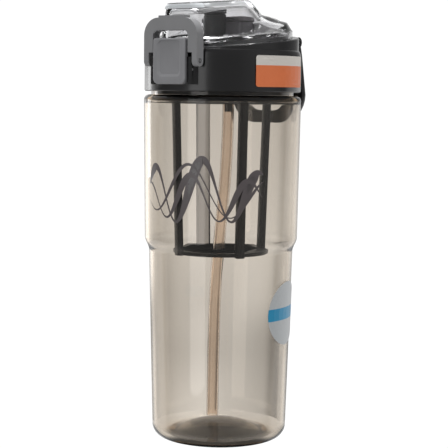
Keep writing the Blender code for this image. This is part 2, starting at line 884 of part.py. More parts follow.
def make_stopper(look):
    """The soft plug stuck under the cover, whose peg closes the spout."""
    slope = cover_top_slope_share
    ceiling = cover_top_z - cover_top_thickness - gap
    seat = spout_top + gap
    profile = [
        (0.0, seat - stopper_peg_length),
        (stopper_peg_radius - stopper_skirt, seat - stopper_peg_length),
        (stopper_peg_radius, seat - stopper_peg_length + stopper_skirt),
        (stopper_peg_radius, seat),
        (stopper_radius, seat),
        (stopper_radius, ceiling, slope),
        (0.0, ceiling, slope),
    ]
    stopper = solid("spout_stopper", turned(profile, 32, centre=(0.0, -spout_offset)), look)
    set_origin(stopper, (0.0, hinge_y, hinge_z))


def make_spout(look):
    """The mouthpiece over the deck, its bent tube, and the nipple for the straw."""
    radii = []
    bores = []
    points = []

    def station(y, z, radius, bore):
        points.append(Vector((0.0, y, z)))
        radii.append(radius)
        bores.append(bore)

    front = -spout_offset
    rear = straw_y(liner_foot)
    station(front, spout_top, spout_radius - spout_lip, spout_bore + spout_lip)
    station(front, spout_top - spout_lip, spout_radius, spout_bore)
    station(front, deck_under, spout_radius, spout_bore)
    station(front, deck_under - spout_lip, spout_tube_radius, spout_tube_bore)
    bend_top = deck_under - 2 * spout_lip
    bend_foot = liner_floor_top + 4 * spout_lip
    for step in range(1, 10):
        share = step / 10
        ease = share * share * (3 - 2 * share)
        y = front + (rear - front) * ease
        station(y, bend_top + (bend_foot - bend_top) * share, spout_tube_radius, spout_tube_bore)
    seat = liner_floor_top + gap
    station(rear, seat + spout_lip, spout_tube_radius, spout_tube_bore)
    station(rear, seat, spout_tube_radius, spout_tube_bore)
    station(rear, seat - gap / 2, nipple_radius, nipple_bore)
    station(rear, liner_foot - nipple_length, nipple_radius, nipple_bore)
    solid("spout_tube", swept(points, radii, small_round_steps, bores), look)


def make_vent(look, dark):
    """The block behind the spout, with its cap and the cap's two slots."""
    rear = vent_front + vent_depth
    middle = (vent_front + rear) / 2
    foot = deck_top + gap
    top = deck_top + vent_rise
    outline = plan_outline(vent_half_width, vent_front, rear, vent_corner)
    housing = solid("vent_housing", prism(outline, foot, top), look)
    axis = ((0.0, middle, foot - overrun), (0.0, middle, top + overrun))
    cut(housing, "vent_housing_bore", rod(*axis, vent_bore, 16))
    over = vent_cap_overhang
    outline = plan_outline(vent_half_width + over, vent_front - over, rear + over, vent_corner)
    low = top + gap
    high = low + vent_cap_thickness
    cap = solid("vent_cap", prism(outline, low, high), dark)
    soften(cap, vent_cap_edge)
    slot_low = low + vent_slot_rise
    for side in (-1, 1):
        near = side * vent_slot_offset
        ends = sorted((near, near + side * vent_slot_width))
        corner = (ends[1], middle, slot_low + vent_slot_height)
        start = (ends[0], vent_front - over - overrun, slot_low)
        cut(cap, "vent_slot_" + side_name(side), block(start, corner))


def make_liner(look):
    """The shallow cup under the deck that plugs the neck."""
    top = liner_seat - gap
    flange_foot = top - liner_flange_thickness
    inner = liner_radius - liner_wall
    ring_inner = liner_collar_radius - liner_collar_wall
    profile = [
        (0.0, liner_foot),
        (ring_inner, liner_foot),
        (ring_inner, liner_foot - liner_collar_height),
        (liner_collar_radius, liner_foot - liner_collar_height),
        (liner_collar_radius, liner_foot),
        (liner_radius, liner_foot),
        (liner_radius, flange_foot),
        (skirt_inner - gap, flange_foot),
        (skirt_inner - gap, top),
        (inner, top),
        (inner, liner_floor_top),
        (0.0, liner_floor_top),
    ]
    liner = solid("lid_liner", turned(profile), look)
    rear = straw_y(liner_foot)
    low = liner_foot - overrun
    high = liner_floor_top + overrun
    cut(liner, "nipple_hole", rod((0.0, rear, low), (0.0, rear, high), nipple_radius + gap, 20))
    x = -valve_offset
    cut(liner, "valve_hole", rod((x, 0.0, low), (x, 0.0, high), valve_stem_radius + gap, 12))
    for side in (-1, 1):
        y = side * (valve_stem_radius + valve_air_hole_radius * 2 + gap)
        name = "valve_air_hole_" + side_name(side)
        cut(liner, name, rod((x, y, low), (x, y, high), valve_air_hole_radius, 10))


def make_valve(look):
    """The umbrella valve under the liner's floor, held by a bulb on its stem."""
    under = liner_foot - gap
    over = liner_floor_top + gap
    profile = [
        (0.0, under - valve_thickness),
        (valve_radius - valve_thickness, under - valve_thickness),
        (valve_radius, under - valve_thickness / 2),
        (valve_radius, under),
        (valve_stem_radius, under),
        (valve_stem_radius, over),
        (valve_bulb_radius, over),
        (valve_stem_radius, over + valve_bulb_height),
        (0.0, over + valve_bulb_height),
    ]
    solid("vent_valve", turned(profile, 20, centre=(-valve_offset, 0.0)), look)


def make_gasket(look):
    """The flat seal between the neck and the liner's flange."""
    low = neck_top + gap
    high = low + gasket_height
    middle = (neck_radius + neck_inner) / 2
    inner = middle - gasket_width / 2
    outer = middle + gasket_width / 2
    notch = (low + high) / 2
    profile = [
        (inner, low),
        (outer, low),
        (outer - gasket_groove, notch),
        (outer, high),
        (inner, high),
        (inner + gasket_groove, notch),
    ]
    solid("neck_gasket", turned(profile, round_steps, closed=True), look)


def make_straw(look):
    top = liner_foot - gap
    foot = cup_inner_floor + straw_foot_gap
    points = []
    for step in range(straw_steps + 1):
        z = top + (foot - top) * step / straw_steps
        points.append(Vector((0.0, straw_y(z), z)))
    count = len(points)
    tube = swept(points, [straw_radius] * count, 14, [straw_bore] * count)
    solid("straw", tube, look)


def make_infuser(look, plate_look):
    """Four ribs hang from a flange round the liner's collar and end in a foot ring."""
    inner = liner_collar_radius + gap
    top = cup_shoulder_height
    flange_foot = top - infuser_flange_height
    rest = infuser_foot_height + infuser_ledge_thickness
    foot_inner = infuser_foot_radius - infuser_ring_width
    flange = turned([
        (inner, flange_foot),
        (infuser_flange_radius, flange_foot),
        (infuser_flange_radius, top),
        (inner, top),
    ], round_steps, closed=True)
    frame = solid("infuser_frame", flange, look)
    foot_top = infuser_foot_height + infuser_ring_height
    ring = turned([
        (infuser_foot_radius, infuser_foot_height),
        (infuser_foot_radius, foot_top),
        (foot_inner, foot_top),
        (foot_inner, rest),
        (foot_inner - infuser_ring_ledge, rest),
        (foot_inner - infuser_ring_ledge, infuser_foot_height),
    ], round_steps, closed=True)
    join(frame, "infuser_foot_ring", ring)
    for index in range(4):
        angle = math.radians(infuser_first_rib_deg + index * 90.0)
        width = infuser_wide_rib_width if index == 1 else infuser_rib_width
        join(frame, "infuser_rib_%d" % index, infuser_rib(angle, width, flange_foot + sink))
    straw_hole_y = straw_y(infuser_foot_height) - plate_hole_shift
    disc = foot_inner - gap
    plate_foot = rest + gap
    profile = [(0.0, plate_foot), (disc, plate_foot)]
    profile += [(disc, plate_foot + plate_thickness), (0.0, plate_foot + plate_thickness)]
    plate = solid("infuser_plate", turned(profile, 40), plate_look)
    low = plate_foot - overrun
    high = plate_foot + plate_thickness + overrun
    axis = ((0.0, straw_hole_y, low), (0.0, straw_hole_y, high))
    cut(plate, "straw_hole", rod(*axis, plate_hole_radius, 24))
    for index in range(plate_slots):
        angle = math.radians(plate_first_slot_deg + index * plate_slot_step_deg)
        sweep = plate_slot_sweep_share * math.radians(plate_slot_step_deg)
        cut(plate, "plate_slot_%d" % index, ring_slot(angle, sweep, low, high))


def infuser_rib(angle, width, top):
    """One rib, which leans in towards its foot."""
    bm = bmesh.new()
    foot = infuser_foot_height - infuser_rib_toe
    half = width / 2
    rings = []
    for z, outer in ((foot, infuser_foot_radius), (top, infuser_top_radius)):
        ring = []
        for radius, side in ((outer, half), (outer, -half)):
            ring.append((radius, side, z))
        for radius, side in ((outer - infuser_rib_depth, -half), (outer - infuser_rib_depth, half)):
            ring.append((radius, side, z))
        turned_ring = []
        for x, y, z_here in ring:
            place_x = x * math.cos(angle) - y * math.sin(angle)
            place_y = x * math.sin(angle) + y * math.cos(angle)
            turned_ring.append(bm.verts.new((place_x, place_y, z_here)))
        rings.append(turned_ring)
    bridge(bm, rings[0], rings[1])
    bm.faces.new(rings[0])
    bm.faces.new(rings[1])
    return bm


def ring_slot(middle, sweep, low, high, steps=4):
    """A curved slot's cutter."""
    outline = []
    half = plate_slot_width / 2
    for radius, order in ((plate_slot_radius + half, 1), (plate_slot_radius - half, -1)):
        for step in range(steps + 1):
            share = step / steps if order > 0 else 1 - step / steps
            angle = middle + sweep * (share - 0.5)
            outline.append((radius * math.cos(angle), radius * math.sin(angle)))
    return prism(outline, low, high)


def make_ring(look):
    """The lock ring: two legs on its pivots, and a deep arch over the cover's front."""
    near = -ring_front
    far = near + ring_depth
    top = ring_pivot_z + ring_top_rise
    body_top = top - ring_lip_height
    step = ring_pivot_z + ring_step_rise
    wide = ring_half_width
    leg = wide - ring_leg_thickness
    opening = wide - ring_arch_thickness
    sill = top - ring_bar_height
    corner = (ring_outer_corner, ring_outer_corner)
    inner = (ring_inner_corner, ring_inner_corner)
    outline = [(wide, ring_pivot_z)]
    outline += arc((wide - corner[0], body_top - corner[1]), corner, 0.0, 90.0, 8)
    outline += arc((corner[0] - wide, body_top - corner[1]), corner, 90.0, 180.0, 8)
    outline += [(-wide, ring_pivot_z), (-leg, ring_pivot_z), (-leg, step), (-opening, step)]
    outline += reversed(arc((inner[0] - opening, sill - inner[1]), inner, 90.0, 180.0, 4))
    outline += reversed(arc((opening - inner[0], sill - inner[1]), inner, 0.0, 90.0, 4))
    outline += [(opening, step), (leg, step), (leg, ring_pivot_z)]
    ring = solid("lock_ring", slab(outline, near, far), look)
    low = (-ring_lip_half_width, near + ring_lip_inset, body_top - sink)
    join(ring, "ring_lip", block(low, (ring_lip_half_width, far, top)))
    for side in (-1, 1):
        start = (side * leg, ring_pivot_y, ring_pivot_z)
        end = (side * wide, ring_pivot_y, ring_pivot_z)
        name = "ring_eye_" + side_name(side)
        join(ring, name, rod(start, end, ring_depth / 2, 32))
    reach = wide + overrun
    axis = ((-reach, ring_pivot_y, ring_pivot_z), (reach, ring_pivot_y, ring_pivot_z))
    cut(ring, "ring_pin_hole", rod(*axis, ring_pin_radius + gap, 16))
    soften(ring, ring_edge, 2, 50.0)
    set_origin(ring, (0.0, ring_pivot_y, ring_pivot_z))


def make_button(look):
    """The rocking button, with a sunk panel, a hook at its top and its pin's barrel."""
    near = -button_face
    far = -button_back
    wide = housing_half_width - cheek_width - gap
    low = button_foot_z
    high = low + button_height
    outline = rounded_box_outline(wide, low, high, button_low_corner, button_high_corner)
    button = solid("latch_button", slab(outline, near, far), look)
    soften(button, button_edge, 2, 50.0)
    cut(button, "button_panel", panel_cutter(near, low + button_panel_foot, high))
    inset = wide - button_barrel_inset
    axis = ((-inset, button_pivot_y, button_pivot_z), (inset, button_pivot_y, button_pivot_z))
    join(button, "button_barrel", rod(*axis, button_barrel_radius))
    hook_low = cover_front_foot + gap + lug_height + gap
    tip = -(pocket_floor - gap)
    hook_high = (hook_half_width, tip, hook_low + hook_thickness)
    hook = block((-hook_half_width, far - sink, hook_low), hook_high)
    join(button, "button_hook", hook)
    reach = wide + overrun
    axis = ((-reach, button_pivot_y, button_pivot_z), (reach, button_pivot_y, button_pivot_z))
    cut(button, "button_bore", rod(*axis, button_pin_radius + gap, 12))
    start = (0.0, far - button_spring_socket, button_spring_z)
    end = (0.0, far + overrun, button_spring_z)
    cut(button, "button_spring_socket", rod(start, end, button_spring_bore, 16))
    set_origin(button, (0.0, button_pivot_y, button_pivot_z))


def panel_cutter(face, low, high):
    """The sunk panel in the button's face, with sloping sides."""
    bm = bmesh.new()
    rings = []
    for depth, grow in ((-overrun, 0.0), (0.0, 0.0), (button_panel_depth, button_panel_slope)):
        half = button_panel_half_width + button_panel_slope - grow
        corner = button_low_corner - grow
        foot = low - button_panel_slope + grow
        shape = rounded_box_outline(half, foot, high - button_panel_top_inset, corner, corner)
        rings.append([bm.verts.new((x, face + depth, z)) for x, z in shape])
    for index in range(len(rings) - 1):
        bridge(bm, rings[index], rings[index + 1])
    bm.faces.new(rings[0])
    bm.faces.new(rings[-1])
    return bm


def make_loop(look):
    """The carry loop: a deep bow with an eye at each end on the hinge pin."""
    near = hinge_y - loop_thickness / 2
    far = hinge_y + loop_thickness / 2
    foot = hinge_z - loop_drop
    sill = foot + loop_band_height
    corner_z = foot + loop_corner
    inner_top = loop_top_half_width - loop_leg_width
    outline = []
    outer = (loop_corner, loop_corner)
    outline += arc((loop_wide_half_width - outer[0], corner_z), outer, -90.0, 0.0, 8)
    spread = loop_wide_half_width - loop_top_half_width
    for share in loop_leg_shares:
        narrow = loop_top_half_width + spread * (1 - share)**loop_taper_power
        outline.append((narrow, corner_z + (hinge_z - corner_z) * share))
    outline.append((inner_top, hinge_z))
    inner = (loop_inner_corner, loop_inner_corner)
    side = loop_inner_half_width
    outline += reversed(arc((side - inner[0], sill + inner[1]), inner, -90.0, 0.0, 6))
    outline += [(-x, z) for x, z in reversed(outline)]
    loop = solid("carry_loop", slab(outline, near, far), look)
    soften(loop, loop_edge, 2, 50.0)
    for side in (-1, 1):
        start = (side * inner_top, hinge_y, hinge_z)
        end = (side * loop_top_half_width, hinge_y, hinge_z)
        name = "loop_eye_" + side_name(side)
        join(loop, name, rod(start, end, hinge_barrel_radius))
    reach = loop_top_half_width + overrun
    axis = ((-reach, hinge_y, hinge_z), (reach, hinge_y, hinge_z))
    cut(loop, "loop_pin_hole", rod(*axis, hinge_pin_radius + gap, 16))
    set_origin(loop, (0.0, hinge_y, hinge_z))


def make_pins(look):
    reach = loop_top_half_width - hinge_pin_inset
    axis = ((-reach, hinge_y, hinge_z), (reach, hinge_y, hinge_z))
    solid("hinge_pin", rod(*axis, hinge_pin_radius, 16), look)
    reach = housing_half_width - gap
    axis = ((-reach, button_pivot_y, button_pivot_z), (reach, button_pivot_y, button_pivot_z))
    solid("button_pin", rod(*axis, button_pin_radius, 12), look)
    for side in (-1, 1):
        start = (side * (housing_half_width - ring_pin_seat), ring_pivot_y, ring_pivot_z)
        end = (side * (ring_half_width - gap), ring_pivot_y, ring_pivot_z)
        solid("ring_pin_" + side_name(side), rod(start, end, ring_pin_radius, 16), look)


def make_springs(look):
    length = button_spring_length
    middle = (0.0, -button_spring_seat - length / 2 - gap, button_spring_z)
    wire = button_spring_wire
    spring = coil(middle, (0, 1, 0), button_spring_radius, wire, length - 2 * wire, 3)
    solid("button_spring", spring, look, 80.0)
    middle = (0.0, hinge_y, hinge_z)
    sizes = (cover_spring_radius, cover_spring_wire, cover_spring_width, 5)
    solid("cover_spring", coil(middle, (1, 0, 0), *sizes), look, 80.0)


def label_patch(outline, radius_at, facing_deg, middle_z):
    """A thin label bent round the piece that it is stuck on."""
    bm = bmesh.new()
    skins = []
    for lift in (gap, gap + label_thickness):
        centre_radius = radius_at(middle_z) + lift
        turn = math.radians(facing_deg)
        centre = bm.verts.new((centre_radius * math.cos(turn), centre_radius * math.sin(turn), middle_z))
        rings = [[centre]]
        for share in label_ring_shares:
            ring = []
            for across, rise in outline:
                z = middle_z + rise * share
                radius = radius_at(z) + lift
                angle = turn + across * share / radius_at(middle_z)
                ring.append(bm.verts.new((radius * math.cos(angle), radius * math.sin(angle), z)))
            rings.append(ring)
        for index in range(len(rings) - 1):
            bridge(bm, rings[index], rings[index + 1])
        skins.append(rings)
    bridge(bm, skins[0][-1], skins[1][-1])
    return bm


def make_labels(collar_look, cup_look):
    half = collar_label_width / 2
    tall = collar_label_height / 2
    outline = []
    for x, z in rounded_box_outline(half, -tall, tall, collar_label_corner, collar_label_corner, 3):
        outline.append((x, z))
    outline = divided(outline, label_edge_step)
    middle = skirt_foot + collar_label_foot + tall
    patch = label_patch(outline, lambda z: skirt_radius, collar_label_deg, middle)
    solid("collar_label", patch, collar_look, 40.0)
    size = (cup_label_radius, cup_label_radius)
    outline = arc((0.0, 0.0), size, 0.0, 360.0, 40)[:-1]
    patch = label_patch(outline, cup_radius_at, cup_label_deg, cup_label_height)
    solid("cup_label", patch, cup_look, 40.0)


def divided(outline, longest):
    """The same outline with its long edges cut into short ones."""
    result = []
    for index, (x, z) in enumerate(outline):
        after = outline[(index + 1) % len(outline)]
        length = math.hypot(after[0] - x, after[1] - z)
        count = max(1, math.ceil(length / longest))
        for step in range(count):
            share = step / count
            result.append((x + (after[0] - x) * share, z + (after[1] - z) * share))
    return result


def cup_radius_at(z):
    """The cup's outer radius between its base round and its waist."""
    waist_foot = cup_waist_height - cup_waist_drop
    share = (z - cup_base_round) / (waist_foot - cup_base_round)
    return cup_base_radius + (cup_below_waist_radius - cup_base_radius) * share


def clear_scene():
    for old in list(bpy.data.objects):
        bpy.data.objects.remove(old)


def main():
    clear_scene()
    smoke = plastic("smoke_clear_plastic", (0.55, 0.50, 0.44), 0.05, 0.9, 0.4)
    clear = plastic("clear_cover_plastic", (0.80, 0.80, 0.82), 0.05, 0.95, 0.4)
    charcoal = plastic("charcoal_lid_plastic", (0.030, 0.030, 0.033), 0.42)
    liner = plastic("charcoal_liner_plastic", (0.040, 0.040, 0.043), 0.35)
    loop = plastic("charcoal_loop_plastic", (0.034, 0.034, 0.036), 0.45)
    ring = plastic("grey_ring_plastic", (0.20, 0.20, 0.21), 0.40)
    button = plastic("grey_button_plastic", (0.21, 0.21, 0.22), 0.38)
    block_grey = plastic("grey_vent_plastic", (0.13, 0.125, 0.13), 0.40)
    cap_dark = plastic("dark_vent_cap_plastic", (0.045, 0.04, 0.045), 0.40)
    spout = plastic("black_spout_plastic", (0.022, 0.020, 0.026), 0.30)
    stopper = plastic("black_silicone_stopper", (0.024, 0.024, 0.026), 0.60)
    gasket = plastic("clear_grey_silicone_gasket", (0.42, 0.42, 0.42), 0.55)
    valve = plastic("grey_silicone_valve", (0.30, 0.30, 0.30), 0.60)
    straw = plastic("amber_straw_plastic", (0.46, 0.36, 0.26), 0.12, 0.6, 0.6)
    frame = plastic("charcoal_infuser_plastic", (0.045, 0.042, 0.042), 0.30)
    plate = plastic("charcoal_strainer_plastic", (0.060, 0.056, 0.055), 0.32)
    collar = plastic("orange_and_white_label", (0.80, 0.28, 0.10), 0.45)
    round_label = plastic("pale_round_label", (0.78, 0.82, 0.84), 0.40)
    make_cup(smoke)
    make_lid(charcoal)
    make_liner(liner)
    make_gasket(gasket)
    make_valve(valve)
    make_spout(spout)
    make_vent(block_grey, cap_dark)
    make_cover(clear)
    make_stopper(stopper)
    make_ring(ring)
    make_button(button)
    make_loop(loop)
    make_straw(straw)
    make_infuser(frame, plate)
    make_pins(steel("bright_steel_pins"))
    make_springs(steel("bright_steel_springs"))
    make_labels(collar, round_label)


main()
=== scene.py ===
"""The looks of the clear drink bottle: its finishes, its printed and stuck-on parts, light and camera."""
import json
import math

import bmesh
import bpy
from mathutils import Matrix, Vector


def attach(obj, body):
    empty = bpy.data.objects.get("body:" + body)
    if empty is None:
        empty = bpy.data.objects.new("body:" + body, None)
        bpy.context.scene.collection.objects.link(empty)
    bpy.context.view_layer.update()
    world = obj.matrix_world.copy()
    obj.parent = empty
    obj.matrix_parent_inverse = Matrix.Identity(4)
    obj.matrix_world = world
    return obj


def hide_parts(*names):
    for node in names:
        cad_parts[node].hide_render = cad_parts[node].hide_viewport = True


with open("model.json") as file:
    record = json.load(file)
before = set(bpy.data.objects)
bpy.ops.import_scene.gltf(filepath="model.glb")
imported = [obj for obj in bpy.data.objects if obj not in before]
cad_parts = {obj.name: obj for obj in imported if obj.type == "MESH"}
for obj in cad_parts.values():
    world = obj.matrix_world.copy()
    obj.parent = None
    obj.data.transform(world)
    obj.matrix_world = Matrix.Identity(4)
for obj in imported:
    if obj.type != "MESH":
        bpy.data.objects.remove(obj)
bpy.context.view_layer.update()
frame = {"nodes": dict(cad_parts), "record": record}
nodes = frame["nodes"]

# The camera, in metres and degrees, as the photograph was taken.
camera_azimuth = 36.0
camera_pitch = 5.5
camera_roll = 0.688
camera_distance = 0.806
camera_height = 0.201
camera_lens = 112.5
camera_sensor = 36.0
picture_width = 448.0
camera_shift = 3.0 / picture_width

# Sizes repeated from the CAD source, in metres, with the shares and powers of its curves.
gap = 0.0003
overrun = 0.004
cup_shoulder_height = 0.1977
cup_top_radius = 0.0450
cup_waist_height = 0.1165
cup_waist_drop = 0.0078
cup_above_waist_radius = 0.0440
cup_below_waist_radius = 0.0415
cup_base_radius = 0.0388
cup_base_round = 0.0068
cup_shoulder_round = 0.0030
cup_wall = 0.0022
cup_floor = 0.0026
punt_radius = 0.0272
punt_depth = 0.0070
neck_radius = 0.0408
neck_wall = 0.0024
neck_top = 0.2125
neck_edge = 0.0005
thread_pitch = 0.0060
thread_depth = 0.0012
thread_root_width = 0.0020
thread_crest_width = 0.0010
thread_start = 0.0023
thread_turns = 1.25
rim_z = 0.2281
rim_slope_share = 0.11
cover_wall = 0.0024
cover_radius = 0.0395
cover_foot_height = 0.0040
cover_fillet = 0.0006
cover_shoulder_rise = 0.0088
cover_shoulder_inset = 0.0033
cover_front_shoulder_rise = 0.0050
cover_front_ridge_rise = 0.0054
cover_bulge_start = 0.0020
cover_bulge_full = 0.0160
cover_ridge_foot_rise = 0.0137
cover_ridge_half_width = 0.0185
cover_ridge_front = 0.0394
cover_tongue_reach = 0.0016
cover_ridge_rear = 0.0215
cover_top_rise = 0.0233
cover_top_thickness = 0.0034
cover_top_half_width = 0.0116
cover_top_rear = 0.0108
cover_top_set_back = 0.0006
cover_top_slope_share = 0.088
cover_top_edge = 0.0007
cover_round_power = 2.0
cover_shoulder_power = 2.1
cover_front_power = 6.5
cover_rear_power = 3.0
cover_width_shares = (0.20, 0.54, 0.57, 0.68, 0.87)
cover_rise_shares = (0.35, 0.80, 0.83, 0.91, 0.98)
cover_tongue_shares = (0.0, 0.0, 1.0, 1.0, 0.8)
cover_arm_outer = 0.0090
cover_arm_width = 0.0058
cover_arm_thickness = 0.0030
hinge_y = 0.0473
hinge_z = 0.228903
hinge_barrel_radius = 0.0031
hinge_pin_radius = 0.0013
lug_half_width = 0.0060
lug_height = 0.0016
lug_tip = -0.0450
ledge_half_width = 0.0088
ledge_height = 0.0030
ledge_rise = 0.0112
ledge_tip = -0.0428
ring_pivot_y = -0.0461
ring_pivot_z = 0.2160
ring_half_width = 0.0182
ring_leg_thickness = 0.0033
ring_arch_thickness = 0.0062
ring_front = 0.0491
ring_depth = 0.0060
ring_top_rise = 0.0247
ring_bar_height = 0.0081
ring_step_rise = 0.0046
ring_outer_corner = 0.0095
ring_inner_corner = 0.0030
ring_pin_radius = 0.0012
ring_lip_height = 0.0012
ring_lip_half_width = 0.0090
ring_lip_inset = 0.0010
ring_chamfer = 0.0016

# How far a corner or a joint may be off and still count as in place, in metres.
same_point = 1e-6
near_enough = 1e-4

# The angles beyond which an edge shows as a crease, in degrees.
crease_deg = 35.0
button_crease_deg = 18.0
cover_crease_deg = 38.0
ring_crease_deg = 25.0
print_crease_deg = 30.0
cowl_crease_deg = 40.0

# Sizes of the low cowl behind the vent, which the CAD source doesn't have, in metres. It falls away beyond a
# radius and a little beyond a half width, and its sides are rounded over.
cowl_foot = 0.2243
cowl_crown = 0.2388
cowl_reach = 0.0313
cowl_front = 0.0123
cowl_flare = 0.0047
cowl_front_half_width = 0.0118
cowl_half_width = 0.0245
cowl_rows = (0.0123, 0.0140, 0.0155, 0.0170, 0.0190, 0.0210, 0.0230, 0.0250, 0.0270, 0.0288, 0.0302, 0.0311)
cowl_fall_radius = 0.0210
cowl_fall_share = 0.35
cowl_side_half_width = 0.0120
cowl_side_share = 0.05
cowl_round_over = 0.0010

# Where the infuser's one pale rib stands, in degrees and metres.
pale_rib_deg = 150.0
pale_rib_low = 0.1100
pale_rib_high = 0.1955
pale_rib_inner = 0.0225
pale_rib_half_width = 0.0046

# The print on the cup: the heights and the arc that it covers, in metres and degrees, and its film.
print_low = 0.1235
print_high = 0.1650
print_start_deg = -118.5
print_end_deg = -23.0
print_lift = 0.00003
print_film = 0.00003
print_steps = 150
print_least = 0.00012
print_fade_margin = 0.10
print_taper_share = 0.08
print_taper_power = 0.7
print_swell_lead = 0.9
print_swell_power = 1.6
# Each of its ribbons: waves, phase, swing, widest and thinnest width, and how far it is shifted up.
print_ribbons = (
    (2.25, 0.30, 0.86, 0.0058, 0.0010, 0.02),
    (2.25, 1.60, 0.62, 0.0036, 0.0008, -0.14),
    (1.50, 3.90, 0.74, 0.0020, 0.0006, 0.02),
)

# How soft the edges of the painted shade, the painted highlight and the labels' bands are, in metres.
painted_shade_blur = 0.0003
plate_blur = 0.0002
plate_front_blur = 0.001
plate_side_blur = 0.0004
label_blur = 0.00015
# The colour of the highlight painted on the cover's thick front edge, and how much of its clearness that painted
# highlight takes away.
plate_highlight_colour = (0.93, 0.97, 1.0, 1.0)
plate_highlight_opacity = 0.8
# Where the highlight is painted on the cover's edge: its lowest and highest height over the plate's leaning plane,
# the lean, the y that it ends at in front, and its half width.
cover_plate_highlight = (0.2482, 0.2508, cover_top_slope_share, -0.0355, cover_top_half_width)
# Painted shade on the cup's wall: a lowest and a highest height, a radius, and the darker tint painted inside them.
# The rows are the base, the crown of its hollow and the neck.
cup_painted_shade = (
    (-0.01, 0.0125, 0.0285, (0.50, 0.48, 0.45, 1.0)),
    (0.0072, 0.0125, 0.0285, (0.17, 0.16, 0.15, 1.0)),
    (0.1982, 0.220, 0.06, (0.27, 0.26, 0.26, 1.0)),
)

# The white that the camera sees, and the light that the bottle gets from in front, on the left and on the right.
white = (1.0, 1.0, 1.0, 1.0)
white_light = 1.05
front_light = 0.30
right_front_light = 0.44
# The sines beside and beyond the bottle between which the left light gives way to the right one, and the light
# in front to the backdrop.
front_turn = (0.30, 0.85)
backdrop_turn = (-0.35, 0.45)
# The soft panels. Each has its place to the camera's right, beyond the bottle and up, the height that it is
# turned to, its width and height, its power, and whether it shows in mirrored light and through clear parts.
panels = (
    ("left_panel", (-0.60, -0.80, 0.22), 0.15, (0.47, 1.00), 1.9, True, True),
    ("rim_panel", (-0.75, 0.70, 0.17), 0.21, (0.22, 0.18), 0.34, True, False),
    ("top_panel", (0.10, 0.05, 1.05), 0.12, (0.80, 0.60), 9.0, False, True),
    ("strip_panel", (-0.32, 0.10, 0.92), 0.23, (0.60, 0.08), 1.1, True, False),
)
# How bright the backdrop is to each side of the line of sight, high up and low down: the sine of the
# angle, then the strength.
backdrop_high = (
    (-1.00, 0.05), (-0.930, 0.05), (-0.89, 0.45), (-0.60, 1.20), (-0.45, 1.40), (-0.36, 1.05), (-0.25, 0.68),
    (-0.19, 0.56), (-0.15, 0.58), (-0.100, 0.59), (-0.050, 0.65), (-0.020, 0.70), (0.010, 0.67), (0.035, 0.69),
    (0.058, 0.69), (0.080, 0.68), (0.095, 0.64), (0.107, 0.54), (0.125, 0.46), (0.150, 0.40), (0.180, 0.43),
    (0.21, 0.50), (0.29, 0.60), (0.36, 0.58), (0.45, 0.82), (0.93, 0.72), (0.955, 0.05), (1.00, 0.05),
)
backdrop_low = (
    (-1.00, 0.05), (-0.945, 0.05), (-0.92, 0.75), (-0.45, 0.88), (-0.36, 0.44), (-0.24, 0.48), (-0.19, 0.60),
    (-0.100, 0.68), (-0.050, 0.70), (-0.020, 0.79), (0.010, 0.66), (0.035, 0.61), (0.058, 0.54), (0.080, 0.51),
    (0.105, 0.33), (0.130, 0.21), (0.150, 0.15), (0.180, 0.16), (0.21, 0.38), (0.36, 0.50), (0.45, 0.80),
    (0.93, 0.80), (0.955, 0.05), (1.00, 0.05),
)
# The same above the lid's rim, where the clear cover stands against it.
backdrop_top = (
    (-1.00, 0.05), (-0.955, 0.05), (-0.93, 0.60), (-0.45, 0.80), (-0.36, 0.68), (-0.10, 0.68), (-0.02, 0.74),
    (0.035, 0.70), (0.10, 0.62), (0.20, 0.58), (0.35, 0.45), (0.50, 0.20), (0.93, 0.16), (1.00, 0.05),
)
# The backdrop's share of that strength, by the sine of how far a line of sight rises.
backdrop_levels = ((-1.0, 1.12), (-0.225, 1.12), (-0.185, 0.88), (-0.105, 1.20), (-0.02, 1.06), (1.0, 1.06))
# The sines between which the low curve gives way to the high one, and that to the one above the lid.
high_turn = (-0.180, -0.145)
top_turn = (-0.005, 0.030)
backdrop_most = 2.0

# The piece of ground: its size, its sink and its shades, and the painted shadow, an oval where the foot stands,
# which goes from painted shadow to full glow between two reaches.
floor_radius = 0.056
floor_sink = 0.00005
floor_stretch = 1.2
floor_shades = ((0.010, 0.010, 0.010, 1.0), (0.012, 0.012, 0.012, 1.0))
painted_shadow_half_width = 0.031
painted_shadow_depth = 0.040
painted_shadow_ahead = 0.25
painted_shadow_reach = (0.72, 1.20)
painted_shadow_light = (0.10, 1.12)


def srgb(red, green, blue, alpha=1.0):
    """A colour of 0 to 255 as the shader's linear values."""
    values = []
    for channel in (red, green, blue):
        share = channel / 255.0
        values.append(share / 12.92 if share <= 0.04045 else ((share + 0.055) / 1.055) ** 2.4)
    return (*values, alpha)


def shade(colour, factor):
    """A colour made darker or lighter."""
    return (*(min(1.0, channel * factor) for channel in colour[:3]), 1.0)


